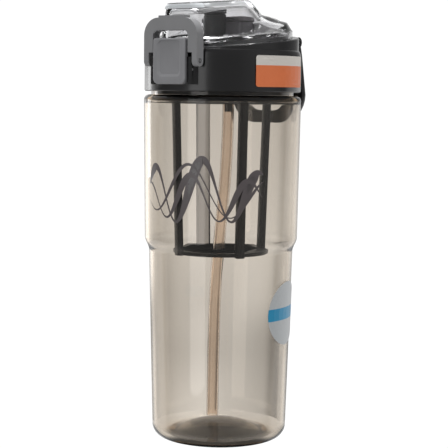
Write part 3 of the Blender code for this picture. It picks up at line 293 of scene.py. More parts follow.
class Nodes:
    """A node tree, with short calls for the nodes that the finishes and the studio use."""

    def __init__(self, tree):
        self.tree = tree

    def feed(self, target, value):
        """Sets a socket, or links it where the value is another node's socket."""
        if isinstance(value, bpy.types.NodeSocket):
            self.tree.links.new(value, target)
        else:
            target.default_value = value

    def node(self, kind, inputs, **settings):
        """A new node, with its settings and what goes into its sockets."""
        made = self.tree.nodes.new("ShaderNode" + kind)
        for setting, value in settings.items():
            setattr(made, setting, value)
        for socket, value in inputs.items():
            self.feed(made.inputs[socket], value)
        return made

    def maths(self, operation, first, second=0.0, third=0.0):
        """What a sum of up to three values comes to."""
        return self.node("Math", {0: first, 1: second, 2: third}, operation=operation).outputs[0]

    def dotted(self, vector, direction):
        """How far a vector goes along a direction."""
        return self.node("VectorMath", {0: vector, 1: direction}, operation="DOT_PRODUCT").outputs["Value"]

    def spread(self, value, low, high, new_low=0.0, new_high=1.0):
        """A value carried smoothly from one range to another."""
        inputs = {"Value": value, "From Min": low, "From Max": high, "To Min": new_low, "To Max": new_high}
        return self.node("MapRange", inputs, interpolation_type="SMOOTHSTEP").outputs["Result"]

    def mixed(self, share, first, second, kind="RGBA"):
        """A colour mixed from two, or a number where the kind is VALUE."""
        made = self.node("Mix", {"Factor": share}, data_type="RGBA" if kind == "RGBA" else "FLOAT")
        for slot, value in (("A", first), ("B", second)):
            self.feed([s for s in made.inputs if s.name == slot and s.type == kind][0], value)
        return [s for s in made.outputs if s.type == kind][0]

    def curve(self, sine, rows):
        """A strength by a sine, from rows of the two."""
        ramp = self.node("ValToRGB", {"Fac": self.maths("MULTIPLY_ADD", sine, 0.5, 0.5)})
        stops = ramp.color_ramp.elements
        stops.remove(stops[1])
        for index, (side, strength) in enumerate(rows):
            place = (side + 1) / 2
            stop = stops.new(place) if index else stops[0]
            stop.position = place
            stop.color = (*[strength / backdrop_most] * 3, 1.0)
        return self.maths("MULTIPLY", ramp.outputs["Color"], backdrop_most)


class Shader(Nodes):
    """A material with one principled surface, and the textures that every finish here uses."""

    def __init__(self, name):
        self.material = bpy.data.materials.new(name)
        self.material.use_nodes = True
        super().__init__(self.material.node_tree)
        self.surface = self.tree.nodes["Principled BSDF"]
        self.place = self.node("TexCoord", {}).outputs["Object"]

    def set(self, socket, value):
        """Feeds one of the surface's sockets."""
        self.feed(self.surface.inputs[socket], value)

    def split(self):
        """The object's own x, y and z."""
        return self.node("SeparateXYZ", {0: self.place}).outputs

    def stretched(self, scale):
        """The object's own coordinates, stretched along each axis."""
        return self.node("Mapping", {"Vector": self.place, "Scale": scale}).outputs["Vector"]

    def noise(self, scale, detail=3.0, roughness=0.55, stretch=None):
        """An even noise over the object, or one that is stretched along its axes."""
        place = self.stretched(stretch) if stretch else self.place
        inputs = {"Vector": place, "Scale": scale, "Detail": detail, "Roughness": roughness}
        return self.node("TexNoise", inputs).outputs["Fac"]

    def mottled(self, noise, colour, contrast):
        """A colour that drifts a little darker and lighter with a noise."""
        share = self.spread(noise, 0.3, 0.7)
        return self.mixed(share, shade(colour, 1 - contrast), shade(colour, 1 + contrast))

    def bump(self, height, strength, distance):
        """Tilts the surface as a height would."""
        inputs = {"Height": height, "Strength": strength, "Distance": distance}
        self.set("Normal", self.node("Bump", inputs).outputs["Normal"])


def moulded(name, colour, roughness, grain=900.0, depth=0.00002, contrast=0.10, level=0.5, coat=0.0):
    """Opaque moulded plastic: a faint mottle, an uneven sheen and the mould's fine grain."""
    look = Shader(name)
    broad = look.noise(38.0, detail=2.0)
    fine = look.noise(grain, detail=2.0, roughness=0.6)
    look.set("Base Color", look.mottled(broad, colour, contrast))
    look.set("Roughness", look.maths("MULTIPLY_ADD", broad, 0.10, roughness - 0.05))
    look.bump(fine, strength=0.35, distance=depth)
    look.set("Specular IOR Level", level)
    look.set("Coat Weight", coat)
    look.set("Coat Roughness", 0.12)
    return look.material


def painted_shade_colour(look, colour, parts):
    """A colour with shade painted into some parts, each given by its heights, its radius and the darker tint painted
    there.
    """
    height = look.split()["Z"]
    flat = look.node("VectorMath", {0: look.stretched((1.0, 1.0, 0.0))}, operation="LENGTH").outputs["Value"]
    for low, high, radius, tint in parts:
        under = look.spread(height, low - 2 * painted_shade_blur, low, 1.0, 0.0)
        above = look.spread(height, high - painted_shade_blur, high + painted_shade_blur)
        outside = look.spread(flat, radius - painted_shade_blur, radius + painted_shade_blur)
        beyond = look.maths("MAXIMUM", look.maths("MAXIMUM", above, under), outside)
        colour = look.mixed(beyond, tint, colour)
    return colour


def plate_highlight_mask(look, low, high, lean, front, aside):
    """Where a highlight is painted: 1 on the front edge of a thick plate and 0.5 on its sides.

    The plate lies between two heights over a plane that leans along y, ends before the front, and is at its
    sides beyond the half width."""
    x, y, z = look.split()
    height = look.maths("SUBTRACT", z, look.maths("MULTIPLY", y, lean))
    over = look.spread(height, low - plate_blur, low + plate_blur)
    under = look.spread(height, high - plate_blur, high + plate_blur, 1.0, 0.0)
    ahead = look.spread(y, front - plate_front_blur, front + plate_front_blur, 1.0, 0.0)
    beside = look.spread(look.maths("ABSOLUTE", x), aside - plate_side_blur, aside, 0.0, 0.5)
    return look.maths("MULTIPLY", look.maths("MULTIPLY", over, under), look.maths("MAXIMUM", ahead, beside))


def clear(name, tint, roughness, index, waviness=0.00004, scale=26.0, contrast=0.05, coat=0.0, absorbed=None,
          painted_shade_rows=(), painted_highlight_edge=None):
    """Clear moulded plastic: a tint that drifts a little, and the faint waves of a moulded wall.

    Light that passes through it is absorbed at a rate a metre for each colour. Rows of painted shade darken its
    colour in some parts, and a row for a painted highlight makes a thick plate's edge pale and less clear."""
    look = Shader(name)
    wave = look.noise(scale, detail=1.5, roughness=0.5, stretch=(1.0, 1.0, 0.35))
    colour = look.mottled(wave, tint, contrast)
    # Painted shade: the colour is made darker in the rows' parts.
    if painted_shade_rows:
        colour = painted_shade_colour(look, colour, painted_shade_rows)
    look.set("Transmission Weight", 1.0)
    # Painted highlight: the thick plate's edge is made pale and passes less light.
    if painted_highlight_edge:
        share = plate_highlight_mask(look, *painted_highlight_edge)
        colour = look.mixed(share, colour, plate_highlight_colour)
        look.set("Transmission Weight", look.maths("MULTIPLY_ADD", share, -plate_highlight_opacity, 1.0))
    look.set("Base Color", colour)
    smudge = look.noise(70.0)
    look.set("Roughness", look.spread(smudge, 0.45, 0.8, roughness, roughness + 0.015))
    look.bump(wave, strength=0.5, distance=waviness)
    look.set("IOR", index)
    look.set("Coat Weight", coat)
    look.set("Coat Roughness", 0.02)
    if absorbed:
        density = max(absorbed) * 1.25
        kept = (*(1 - rate / density for rate in absorbed), 1.0)
        depth = look.node("VolumeAbsorption", {"Density": density, "Color": kept})
        output = [n for n in look.tree.nodes if n.type == "OUTPUT_MATERIAL"][0]
        look.feed(output.inputs["Volume"], depth.outputs["Volume"])
    return look.material


def printed(name, colours, edges, roughness=0.30):
    """A printed label: bands of colour by height."""
    look = Shader(name)
    height = look.split()["Z"]
    fibre = look.noise(240.0, roughness=0.6)
    bands = [look.mottled(fibre, colour, 0.015) for colour in colours]
    colour = bands[0]
    for band, edge in zip(bands[1:], edges):
        colour = look.mixed(look.spread(height, edge - label_blur, edge + label_blur), colour, band)
    look.set("Base Color", colour)
    look.set("Roughness", look.spread(fibre, 0.3, 0.7, roughness - 0.02, roughness + 0.02))
    look.bump(fibre, strength=0.1, distance=0.000004)
    return look.material


def metal(name, colour, roughness):
    """Bright drawn steel with fine lines along its length."""
    look = Shader(name)
    lines = look.noise(700.0, detail=2.0, roughness=0.5, stretch=(0.05, 1.0, 1.0))
    look.set("Base Color", look.mixed(lines, shade(colour, 0.85), shade(colour, 1.1)))
    look.set("Roughness", look.spread(lines, 0.3, 0.7, roughness - 0.05, roughness + 0.1))
    look.set("Metallic", 1.0)
    look.bump(lines, strength=0.3, distance=0.00001)
    return look.material


def new_object(name, data):
    """A mesh, a light or a camera put into the scene."""
    made = bpy.data.objects.new(name, data)
    bpy.context.scene.collection.objects.link(made)
    return made


def sharpened(mesh, angle):
    """Smooth shading with a crease wherever two faces meet at more than the angle."""
    for face in mesh.polygons:
        face.use_smooth = True
    mesh.set_sharp_from_angle(angle=math.radians(angle))


def from_bmesh(name, bm, angle=crease_deg):
    """A piece from a finished bmesh, with its creases."""
    bmesh.ops.remove_doubles(bm, verts=bm.verts, dist=1e-7)
    bmesh.ops.recalc_face_normals(bm, faces=bm.faces)
    mesh = bpy.data.meshes.new(name)
    bm.to_mesh(mesh)
    bm.free()
    sharpened(mesh, angle)
    return new_object(name, mesh)


def cleaned(mesh, flat_deg):
    """A mesh opened again, with its double points merged and its flat faces joined."""
    bm = bmesh.new()
    bm.from_mesh(mesh)
    bmesh.ops.remove_doubles(bm, verts=bm.verts, dist=same_point)
    bmesh.ops.dissolve_limit(bm, angle_limit=math.radians(flat_deg), verts=bm.verts, edges=bm.edges)
    return bm


def applied(made):
    """Turns a piece's modifiers into plain geometry."""
    graph = bpy.context.evaluated_depsgraph_get()
    mesh = bpy.data.meshes.new_from_object(made.evaluated_get(graph))
    made.modifiers.clear()
    made.data = mesh


def combine(target, other, operation):
    """Joins or cuts one closed piece with another, which is then removed."""
    change = target.modifiers.new(operation.lower(), "BOOLEAN")
    change.operation = operation
    change.object = other
    change.solver = "EXACT"
    applied(target)
    bpy.data.objects.remove(other)


def edged(made, width, segments, limit, angle=crease_deg):
    """Cuts or rounds a piece's edges: those beyond an angle, or all by their weights."""
    edge = made.modifiers.new("edge", "BEVEL")
    edge.width = width
    edge.segments = segments
    edge.limit_method = limit
    edge.angle_limit = math.radians(angle)
    edge.use_clamp_overlap = True
    applied(made)


def dressed(node, slot, look, rounding, angle):
    """A finer copy of a CAD node, its hard edges rounded as moulding leaves them."""
    made = from_bmesh(node + "_piece", cleaned(nodes[node].data, 1.0), angle)
    if rounding:
        edged(made, rounding, 2, "ANGLE", angle)
        sharpened(made.data, max(angle, 30.0))
    carriers = frame["record"]["behaviour"]["bodies"]
    body = [name for name, members in carriers.items() if node in members][0]
    placed(made, body, slot, look, node)
    return made


def placed(made, body, slot, look, *stands_for):
    """Gives a piece its finish and its body, and hides the CAD nodes that it stands for."""
    made.data.materials.clear()
    made.data.materials.append(look)
    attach(made, body)
    if stands_for:
        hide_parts(*stands_for)


def eased(share):
    """A share from 0 to 1, carried over so that it starts and ends gently."""
    return share * share * (3 - 2 * share)


def arc(centre, radius, start_deg, end_deg, steps):
    """Points round part of a circle."""
    points = []
    for step in range(steps + 1):
        angle = math.radians(start_deg + (end_deg - start_deg) * step / steps)
        points.append((centre[0] + radius * math.cos(angle), centre[1] + radius * math.sin(angle)))
    return points


def around(bm, radius, angle, height):
    """A new corner at a radius and an angle round the axis."""
    return bm.verts.new((radius * math.cos(angle), radius * math.sin(angle), height))


def bridge(bm, first, second):
    """Faces between two rings of the same length, or from a ring to one middle corner."""
    count = len(first)
    for index in range(count):
        following = (index + 1) % count
        if len(second) == 1:
            bm.faces.new((first[index], first[following], second[0]))
        else:
            bm.faces.new((first[index], first[following], second[following], second[index]))


def loft(bm, rings):
    """A closed skin through rings of the same length, with a face at each end."""
    for first, second in zip(rings, rings[1:]):
        bridge(bm, first, second)
    bm.faces.new(rings[0])
    bm.faces.new(rings[-1])
    return bm


def turned(profile, steps=144):
    """A profile of radius and height turned round the axis."""
    bm = bmesh.new()
    rings = []
    for radius, height in profile:
        corners = steps if radius > 0 else 1
        rings.append([around(bm, radius, 2 * math.pi * step / steps, height) for step in range(corners)])
    for first, second in zip(rings, rings[1:]):
        if len(first) == 1:
            first, second = second, first
        bridge(bm, first, second)
    return bm


def thread_ridge(root, crest, start_height, steps_a_turn=72, fade_share=0.12, least_share=0.35):
    """The neck's screw thread, thinned at both ends."""
    bm = bmesh.new()
    count = int(thread_turns * steps_a_turn)
    rings = []
    for index in range(count + 1):
        share = index / count
        swell = min(1.0, share / fade_share, (1 - share) / fade_share)
        tip = root + (crest - root) * max(swell, least_share)
        angle = 2 * math.pi * index / steps_a_turn
        height = start_height + thread_pitch * index / steps_a_turn
        outline = (
            (root, -thread_root_width / 2),
            (tip, -thread_crest_width / 2),
            (tip, thread_crest_width / 2),
            (root, thread_root_width / 2),
        )
        rings.append([around(bm, radius, angle, height + rise) for radius, rise in outline])
    return loft(bm, rings)


def cup_profile(punt_steps=14, waist_steps=12, inner_shoulder_deg=75.0, inner_corner_deg=-80.0):
    """The cup's section, from under its base up its outside and down its inside."""
    foot_radius = cup_base_radius - cup_base_round
    waist_foot = cup_waist_height - cup_waist_drop
    step_out = cup_above_waist_radius - cup_below_waist_radius
    punt = []
    for step in range(punt_steps):
        share = step / punt_steps
        punt.append((punt_radius * share, punt_depth * (1 - share**2)))
    waist = []
    for step in range(waist_steps + 1):
        share = step / waist_steps
        waist.append((cup_below_waist_radius + step_out * eased(share), waist_foot + cup_waist_drop * share))
    section = [*punt, (punt_radius, 0.0)]
    section += arc((foot_radius, cup_base_round), cup_base_round, -90.0, 0.0, steps=14)
    section += waist
    shoulder = (cup_top_radius - cup_shoulder_round, cup_shoulder_height - cup_shoulder_round)
    section += arc(shoulder, cup_shoulder_round, 0.0, 90.0, steps=10)
    section.append((neck_radius, cup_shoulder_height))
    section.append((neck_radius, neck_top - neck_edge))
    section.append((neck_radius - neck_edge, neck_top))
    neck_inner = neck_radius - neck_wall
    section.append((neck_inner + neck_edge, neck_top))
    section.append((neck_inner, neck_top - neck_edge))
    under_shoulder = cup_shoulder_height - cup_wall
    section.append((neck_inner, under_shoulder))
    inside = (cup_top_radius - cup_wall - cup_shoulder_round, under_shoulder - cup_shoulder_round)
    section += reversed(arc(inside, cup_shoulder_round, 0.0, inner_shoulder_deg, steps=8))
    section += [(radius - cup_wall, height) for radius, height in reversed(waist)]
    inner_corner = cup_base_round - cup_wall
    inner = (foot_radius, cup_floor + inner_corner)
    section += reversed(arc(inner, inner_corner, inner_corner_deg, 0.0, steps=12))
    section += [(radius, cup_floor + height) for radius, height in reversed(punt)]
    return section


def block(low, high):
    """A block between two corners."""
    bm = bmesh.new()
    made = bmesh.ops.create_cube(bm, size=1.0)
    for vertex in made["verts"]:
        for axis in range(3):
            vertex.co[axis] = (low[axis] + high[axis]) / 2 + vertex.co[axis] * (high[axis] - low[axis])
    return bm


def slab(near, far):
    """A solid between two outlines of the same length."""
    bm = bmesh.new()
    return loft(bm, [[bm.verts.new(point) for point in outline] for outline in (near, far)])


def rod(near, far, y, z, radius, steps=40, first_step=0.37):
    """A round bar along x, turned so that no corner lies level with its axis."""
    bm = bmesh.new()
    rings = []
    for x in (near, far):
        ring = []
        for step in range(steps):
            angle = 2 * math.pi * (step + first_step) / steps
            ring.append(bm.verts.new((x, y + radius * math.cos(angle), z + radius * math.sin(angle))))
        rings.append(ring)
    return loft(bm, rings)


def eased_rows(rows, steps_between):
    """Rows of numbers with more rows between them, on a smooth curve that never overshoots."""
    spans = []
    for before, after in zip(rows, rows[1:]):
        spans.append(max(1e-5, sum(abs(b - a) for a, b in zip(before, after))))
    columns = list(zip(*rows))
    slopes = []
    for column in columns:
        rates = [(b - a) / span for a, b, span in zip(column, column[1:], spans)]
        own = [rates[0]]
        for left, right in zip(rates, rates[1:]):
            own.append(0.0 if left * right <= 0 else 2 * left * right / (left + right))
        own.append(rates[-1])
        slopes.append(own)
    made = []
    for index, span in enumerate(spans):
        for step in range(steps_between):
            t = step / steps_between
            row = []
            for column, own in zip(columns, slopes):
                start, end = column[index], column[index + 1]
                row.append(
                    start * (2 * t**3 - 3 * t**2 + 1) + span * own[index] * (t**3 - 2 * t**2 + t)
                    + end * (3 * t**2 - 2 * t**3) + span * own[index + 1] * (t**3 - t**2)
                )
            made.append(row)
    made.append(list(rows[-1]))
    return made


def cover_outline(half_width, front, rear, front_power, rear_power, angle):
    """A point of a rounded outline that is squarer in front than at the rear."""
    c = math.cos(angle)
    s = math.sin(angle)
    reach = rear if s > 0 else front
    power = rear_power if s > 0 else front_power
    scale = (abs(c / half_width) ** power + abs(s / reach) ** power) ** (-1 / power)
    return scale * c, scale * s


def cover_sections(thickening_rows=5, steps_between=6, edge_turns_deg=(0.0, 30.0, 60.0, 90.0)):
    """The cover's skin from its foot to its top.

    A row is half width, front, rear, two powers, height, tilt, how far down the inner skin lies, and how much lower
    the row lies in front of the rear bulge."""
    foot = cover_radius
    filleted = foot - cover_fillet
    shoulder = foot - cover_shoulder_inset
    ridge = (cover_ridge_half_width, cover_ridge_front, cover_ridge_rear)
    top = (cover_top_half_width, ridge[1] + cover_tongue_reach - cover_top_set_back, cover_top_rear)
    tilt = rim_slope_share
    ridge_z = rim_z + cover_ridge_foot_rise
    top_z = rim_z + cover_top_rise
    round_2 = (cover_round_power, cover_round_power)
    round_ridge = (cover_front_power, cover_rear_power)
    shoulder_powers = (cover_shoulder_power, cover_round_power)
    shoulder_sink = cover_shoulder_rise - cover_front_shoulder_rise
    ridge_sink = cover_ridge_foot_rise - cover_front_ridge_rise
    band_top = rim_z + cover_foot_height
    band = [
        (foot, foot, foot, *round_2, rim_z + gap, tilt, 0.0, 0.0),
        (foot, foot, foot, *round_2, band_top, tilt, 0.0, 0.0),
    ]
    dome = [
        (filleted, foot, filleted, *round_2, band_top + cover_fillet, tilt, 0.0),
        (shoulder, ridge[1], shoulder, *shoulder_powers, rim_z + cover_shoulder_rise, tilt, shoulder_sink),
        (*ridge, *round_ridge, ridge_z, tilt, ridge_sink),
    ]
    for width_share, rise_share, tongue_share in zip(cover_width_shares, cover_rise_shares, cover_tongue_shares):
        half_width = ridge[0] + (top[0] - ridge[0]) * width_share
        front = ridge[1] + cover_tongue_reach * tongue_share
        rear = ridge[2] + (top[2] - ridge[2]) * (width_share + rise_share) / 2
        height = ridge_z + (top_z - ridge_z) * rise_share
        lean = tilt + (cover_top_slope_share - tilt) * min(1.0, 2 * rise_share)
        dome.append((half_width, front, rear, *round_ridge, height, lean, ridge_sink * (1 - rise_share)))
    dome.append((*top, *round_ridge, top_z, cover_top_slope_share, 0.0))
    with_drop = []
    for index, row in enumerate(dome):
        share = min(1.0, max(0.0, (index - 1) / thickening_rows))
        drop = 0.0 if index == 0 else cover_wall + (cover_top_thickness - cover_wall) * share
        with_drop.append((*row[:7], drop, row[7]))
    smooth = eased_rows(with_drop, steps_between)
    smooth.pop()
    last = with_drop[-1]
    for turn in edge_turns_deg:
        inset = cover_top_edge * (1 - math.cos(math.radians(turn)))
        lower = cover_top_edge * (1 - math.sin(math.radians(turn)))
        sizes = (last[0] - inset, last[1] - inset, last[2] - inset)
        smooth.append((*sizes, *last[3:5], last[5] - lower, *last[6:]))
    return band + smooth


def bulge_at(y):
    """0 in front of the cover's rear bulge, and 1 where the bulge is full."""
    share = (y + cover_bulge_start) / (cover_bulge_start + cover_bulge_full)
    return eased(min(1.0, max(0.0, share)))


def cover_mesh(steps=176, crown_shares=(0.66, 0.33)):
    """The clear shell: its outer skin, its inner skin and the foot between them."""
    bm = bmesh.new()
    skins = []
    for inside in (False, True):
        inset = cover_wall if inside else 0.0
        rings = []
        for half_width, front, rear, front_power, rear_power, height, lean, drop, sunk in cover_sections():
            ring = []
            for step in range(steps):
                angle = 2 * math.pi * step / steps
                x, y = cover_outline(half_width - inset, front - inset, rear - inset, front_power, rear_power, angle)
                z = height - (drop if inside else 0.0) + lean * y - sunk * (1 - bulge_at(y))
                ring.append(bm.verts.new((x, y, z)))
            rings.append(ring)
        for first, second in zip(rings, rings[1:]):
            bridge(bm, first, second)
        middle = sum((vertex.co for vertex in rings[-1]), Vector()) / steps
        for share in crown_shares:
            ring = [bm.verts.new(middle + (vertex.co - middle) * share) for vertex in rings[-1]]
            bridge(bm, rings[-1], ring)
            rings.append(ring)
        bridge(bm, rings[-1], [bm.verts.new(middle)])
        skins.append(rings)
    bridge(bm, skins[0][0], skins[1][0])
    return bm


def make_cover(look):
    """The clear flip cover, with its hinge arms, latch lug and ledge in one piece with it."""
    cover = from_bmesh("cover_shell", cover_mesh())
    wall = cover_radius - cover_wall / 2
    foot = rim_z + rim_slope_share * hinge_y + gap + gap
    top = foot + cover_arm_thickness
    outline = [(wall, foot), (wall, top)]
    outline += arc((hinge_y, top - hinge_barrel_radius), hinge_barrel_radius, 90.0, 0.0, steps=10)
    outline += arc((hinge_y, hinge_z), hinge_barrel_radius, 0.0, -180.0, steps=24)
    outline.append((hinge_y - hinge_barrel_radius, foot))
    for side in (-1, 1):
        near, far = side * (cover_arm_outer - cover_arm_width), side * cover_arm_outer
        arm = slab([(near, y, z) for y, z in outline], [(far, y, z) for y, z in outline])
        combine(cover, from_bmesh("cover_arm", arm), "UNION")
    reach = cover_arm_outer + overrun
    bore = rod(-reach, reach, hinge_y, hinge_z, hinge_pin_radius + gap)
    combine(cover, from_bmesh("cover_bore", bore), "DIFFERENCE")
    inside = -(cover_ridge_front - cover_wall / 2)
    low = rim_z + gap - rim_slope_share * cover_radius
    rows = (
        (lug_half_width, lug_tip, low + gap, lug_height),
        (ledge_half_width, ledge_tip, low + ledge_rise, ledge_height),
    )
    for half_width, tip, foot, height in rows:
        shelf = from_bmesh("cover_shelf", block((-half_width, tip, foot), (half_width, inside, foot + height)))
        combine(cover, shelf, "UNION")
    sharpened(cover.data, cover_crease_deg)
    placed(cover, "cover", "cover_clear", look, "flip_cover")


def make_ring(look, soft_share=0.35, chamfer_deg=50.0, lip_root=0.0006):
    """The lock ring: its arch is chamfered round the outside and softened everywhere else."""
    near = -ring_front
    far = near + ring_depth
    top = ring_pivot_z + ring_top_rise
    body_top = top - ring_lip_height
    step = ring_pivot_z + ring_step_rise
    wide = ring_half_width
    leg = wide - ring_leg_thickness
    opening = wide - ring_arch_thickness
    sill = top - ring_bar_height
    corner = ring_outer_corner
    inner = ring_inner_corner
    outline = [(wide, ring_pivot_z)]
    outline += arc((wide - corner, body_top - corner), corner, 0.0, 90.0, steps=20)
    outline += arc((corner - wide, body_top - corner), corner, 90.0, 180.0, steps=20)
    outline += [(-wide, ring_pivot_z), (-leg, ring_pivot_z), (-leg, step), (-opening, step)]
    outline += reversed(arc((inner - opening, sill - inner), inner, 90.0, 180.0, steps=10))
    outline += reversed(arc((opening - inner, sill - inner), inner, 0.0, 90.0, steps=10))
    outline += [(opening, step), (leg, step), (leg, ring_pivot_z)]
    arch = slab([(x, near, z) for x, z in outline], [(x, far, z) for x, z in outline])
    ring = from_bmesh("ring_piece", arch)
    for side in (-1, 1):
        eye = rod(side * leg, side * wide, ring_pivot_y, ring_pivot_z, ring_depth / 2, steps=64)
        combine(ring, from_bmesh("ring_eye", eye), "UNION")
    bm = cleaned(ring.data, 0.5)
    weight = bm.edges.layers.float.new("bevel_weight_edge")
    for edge in bm.edges:
        middle = (edge.verts[0].co + edge.verts[1].co) / 2
        if len(edge.link_faces) != 2 or edge.calc_face_angle() < math.radians(chamfer_deg):
            continue
        outer = abs(middle.x) > wide - near_enough or middle.z > sill + near_enough
        edge[weight] = 1.0 if outer and middle.y < near + near_enough else soft_share
    bm.to_mesh(ring.data)
    bm.free()
    edged(ring, ring_chamfer, 1, "WEIGHT")
    low = (-ring_lip_half_width, near + ring_lip_inset, body_top - lip_root)
    combine(ring, from_bmesh("ring_lip", block(low, (ring_lip_half_width, far, top))), "UNION")
    reach = wide + overrun
    bore = rod(-reach, reach, ring_pivot_y, ring_pivot_z, ring_pin_radius + gap)
    combine(ring, from_bmesh("ring_bore", bore), "DIFFERENCE")
    sharpened(ring.data, ring_crease_deg)
    placed(ring, "ring", "ring_grey", look, "lock_ring")


def make_cowl(look, steps=24):
    """The low cowl on the lid behind the vent: it fills the room under the cover's rear slope."""
    bm = bmesh.new()
    rings = []
    for y in cowl_rows:
        flare = min(1.0, (y - cowl_front) / cowl_flare)
        opening = cowl_front_half_width + (cowl_half_width - cowl_front_half_width) * flare
        half_width = min(opening, math.sqrt(cowl_reach**2 - y**2))
        ring = [bm.verts.new((-half_width, y, cowl_foot)), bm.verts.new((half_width, y, cowl_foot))]
        for step in range(steps + 1):
            x = half_width * math.cos(math.pi * step / steps)
            sunk = cowl_fall_share * max(0.0, math.hypot(x, y) - cowl_fall_radius)
            sunk += cowl_side_share * max(0.0, abs(x) - cowl_side_half_width)
            sunk += cowl_round_over * (1 - math.sin(math.pi * step / steps)) ** 3
            ring.append(bm.verts.new((x, y, cowl_crown - sunk)))
        rings.append(ring)
    placed(from_bmesh("vent_cowl", loft(bm, rings), cowl_crease_deg), "lid", "vent_grey", look)


def pale_rear_rib(frame_piece, look):
    """The one wide rib at the back is of a paler plastic than the rest of the infuser's frame."""
    mesh = frame_piece.data
    mesh.materials.append(look)
    angle = math.radians(pale_rib_deg)
    toward = Vector((math.cos(angle), math.sin(angle)))
    for face in mesh.polygons:
        middle = face.center.to_2d()
        on_line = middle.dot(toward) > pale_rib_inner and abs(middle.cross(toward)) < pale_rib_half_width
        if on_line and pale_rib_low < face.center.z < pale_rib_high:
            face.material_index = 1


def cup_radius_at(z):
    """The cup's radius between its waist and its shoulder."""
    share = (z - cup_waist_height) / (cup_shoulder_height - cup_shoulder_round - cup_waist_height)
    return cup_above_waist_radius + (cup_top_radius - cup_above_waist_radius) * share


def make_print(look):
    """A plain flowing wave printed round the cup: ribbons that swell and thin on their way, and taper to points."""
    middle = (print_low + print_high) / 2
    tall = (print_high - print_low) / 2
    bm = bmesh.new()
    steps = print_steps
    for layer, (waves, phase, swing, widest, thinnest, shift) in enumerate(print_ribbons):
        lift = print_lift + 2 * layer * print_film
        centres = []
        for step in range(steps + 1):
            share = step / steps
            turn = 2 * math.pi * waves * share + phase
            fade = math.sin(math.pi * (print_fade_margin + (1 - 2 * print_fade_margin) * share)) ** 0.5
            rise = swing * fade * math.sin(turn) + shift
            along = math.radians(print_start_deg + (print_end_deg - print_start_deg) * share)
            centres.append((along * cup_above_waist_radius, middle + tall * rise, turn))
        rings = []
        for step, (along, z, turn) in enumerate(centres):
            before = centres[max(step - 1, 0)]
            after = centres[min(step + 1, steps)]
            way = Vector((after[0] - before[0], after[1] - before[1])).normalized()
            share = step / steps
            ends = min(1.0, share / print_taper_share, (1 - share) / print_taper_share)
            swell = (0.5 + 0.5 * math.sin(turn + print_swell_lead)) ** print_swell_power
            width = thinnest + (widest - thinnest) * swell
            half = max(width * ends**print_taper_power, print_least) / 2
            ring = []
            for side, film in ((-1, 0.0), (1, 0.0), (1, print_film), (-1, print_film)):
                place = (along - way.y * half * side, z + way.x * half * side)
                radius = cup_radius_at(place[1]) + lift + film
                ring.append(around(bm, radius, place[0] / cup_above_waist_radius, place[1]))
            rings.append(ring)
        loft(bm, rings)
    placed(from_bmesh("cup_print", bm, print_crease_deg), "cup", "ring_grey", look)


def make_camera():
    """The camera at the photograph's angle: turned round the bottle, tipped down and rolled a little."""
    pitch = math.radians(camera_pitch)
    roll = math.radians(camera_roll)
    place = from_camera(0.0, -camera_distance, camera_height)
    ahead = from_camera(0.0, math.cos(pitch), -math.sin(pitch))
    level = from_camera(1.0, 0.0, 0.0)
    upward = level.cross(ahead)
    right = level * math.cos(roll) + upward * math.sin(roll)
    top = upward * math.cos(roll) - level * math.sin(roll)
    data = bpy.data.cameras.new("camera")
    data.sensor_width = camera_sensor
    data.lens = camera_lens
    data.shift_x = camera_shift
    camera = new_object("camera", data)
    camera.matrix_world = Matrix((
        (right.x, top.x, -ahead.x, place.x),
        (right.y, top.y, -ahead.y, place.y),
        (right.z, top.z, -ahead.z, place.z),
        (0.0, 0.0, 0.0, 1.0),
    ))
    bpy.context.scene.camera = camera


def from_camera(side, ahead, height):
    """A place or a direction, given by how far it is to the camera's right, beyond the bottle, and up."""
    azimuth = math.radians(camera_azimuth)
    level = Vector((math.cos(azimuth), math.sin(azimuth), 0.0))
    away = Vector((-math.sin(azimuth), math.cos(azimuth), 0.0))
    return level * side + away * ahead + Vector((0.0, 0.0, height))


def add_panel_light(name, place, target_height, size, power, mirrored, through):
    """A soft panel, shown or not in what the bottle mirrors and in what is seen through its clear parts."""
    data = bpy.data.lights.new(name, "AREA")
    data.shape = "RECTANGLE"
    data.size, data.size_y = size
    data.energy = power
    made = new_object(name, data)
    made.location = from_camera(*place)
    toward = Vector((0.0, 0.0, target_height)) - made.location
    made.rotation_euler = toward.to_track_quat("-Z", "Y").to_euler()
    made.visible_camera = False
    made.visible_glossy = mirrored
    made.visible_transmission = through


def add_world():
    """A white studio: plain to the camera, and shaded like a lit backdrop to the bottle itself."""
    world = bpy.data.worlds.new("studio")
    world.use_nodes = True
    bpy.context.scene.world = world
    sky = Nodes(world.node_tree)
    place = sky.node("TexCoord", {}).outputs["Generated"]
    beside = sky.dotted(place, from_camera(1.0, 0.0, 0.0))
    beyond = sky.dotted(place, from_camera(0.0, 1.0, 0.0))
    rise = sky.dotted(place, (0.0, 0.0, 1.0))
    low, high, top = (sky.curve(beside, rows) for rows in (backdrop_low, backdrop_high, backdrop_top))
    high = sky.mixed(sky.spread(rise, *top_turn), high, top, "VALUE")
    across = sky.mixed(sky.spread(rise, *high_turn), low, high, "VALUE")
    across = sky.maths("MULTIPLY", across, sky.curve(rise, backdrop_levels))
    front = sky.spread(beside, *front_turn, front_light, right_front_light)
    unseen = sky.mixed(sky.spread(beyond, *backdrop_turn), front, across, "VALUE")
    seen = sky.node("LightPath", {}).outputs["Is Camera Ray"]
    background = sky.tree.nodes["Background"]
    sky.feed(background.inputs["Color"], white)
    sky.feed(background.inputs["Strength"], sky.mixed(seen, unseen, white_light, "VALUE"))


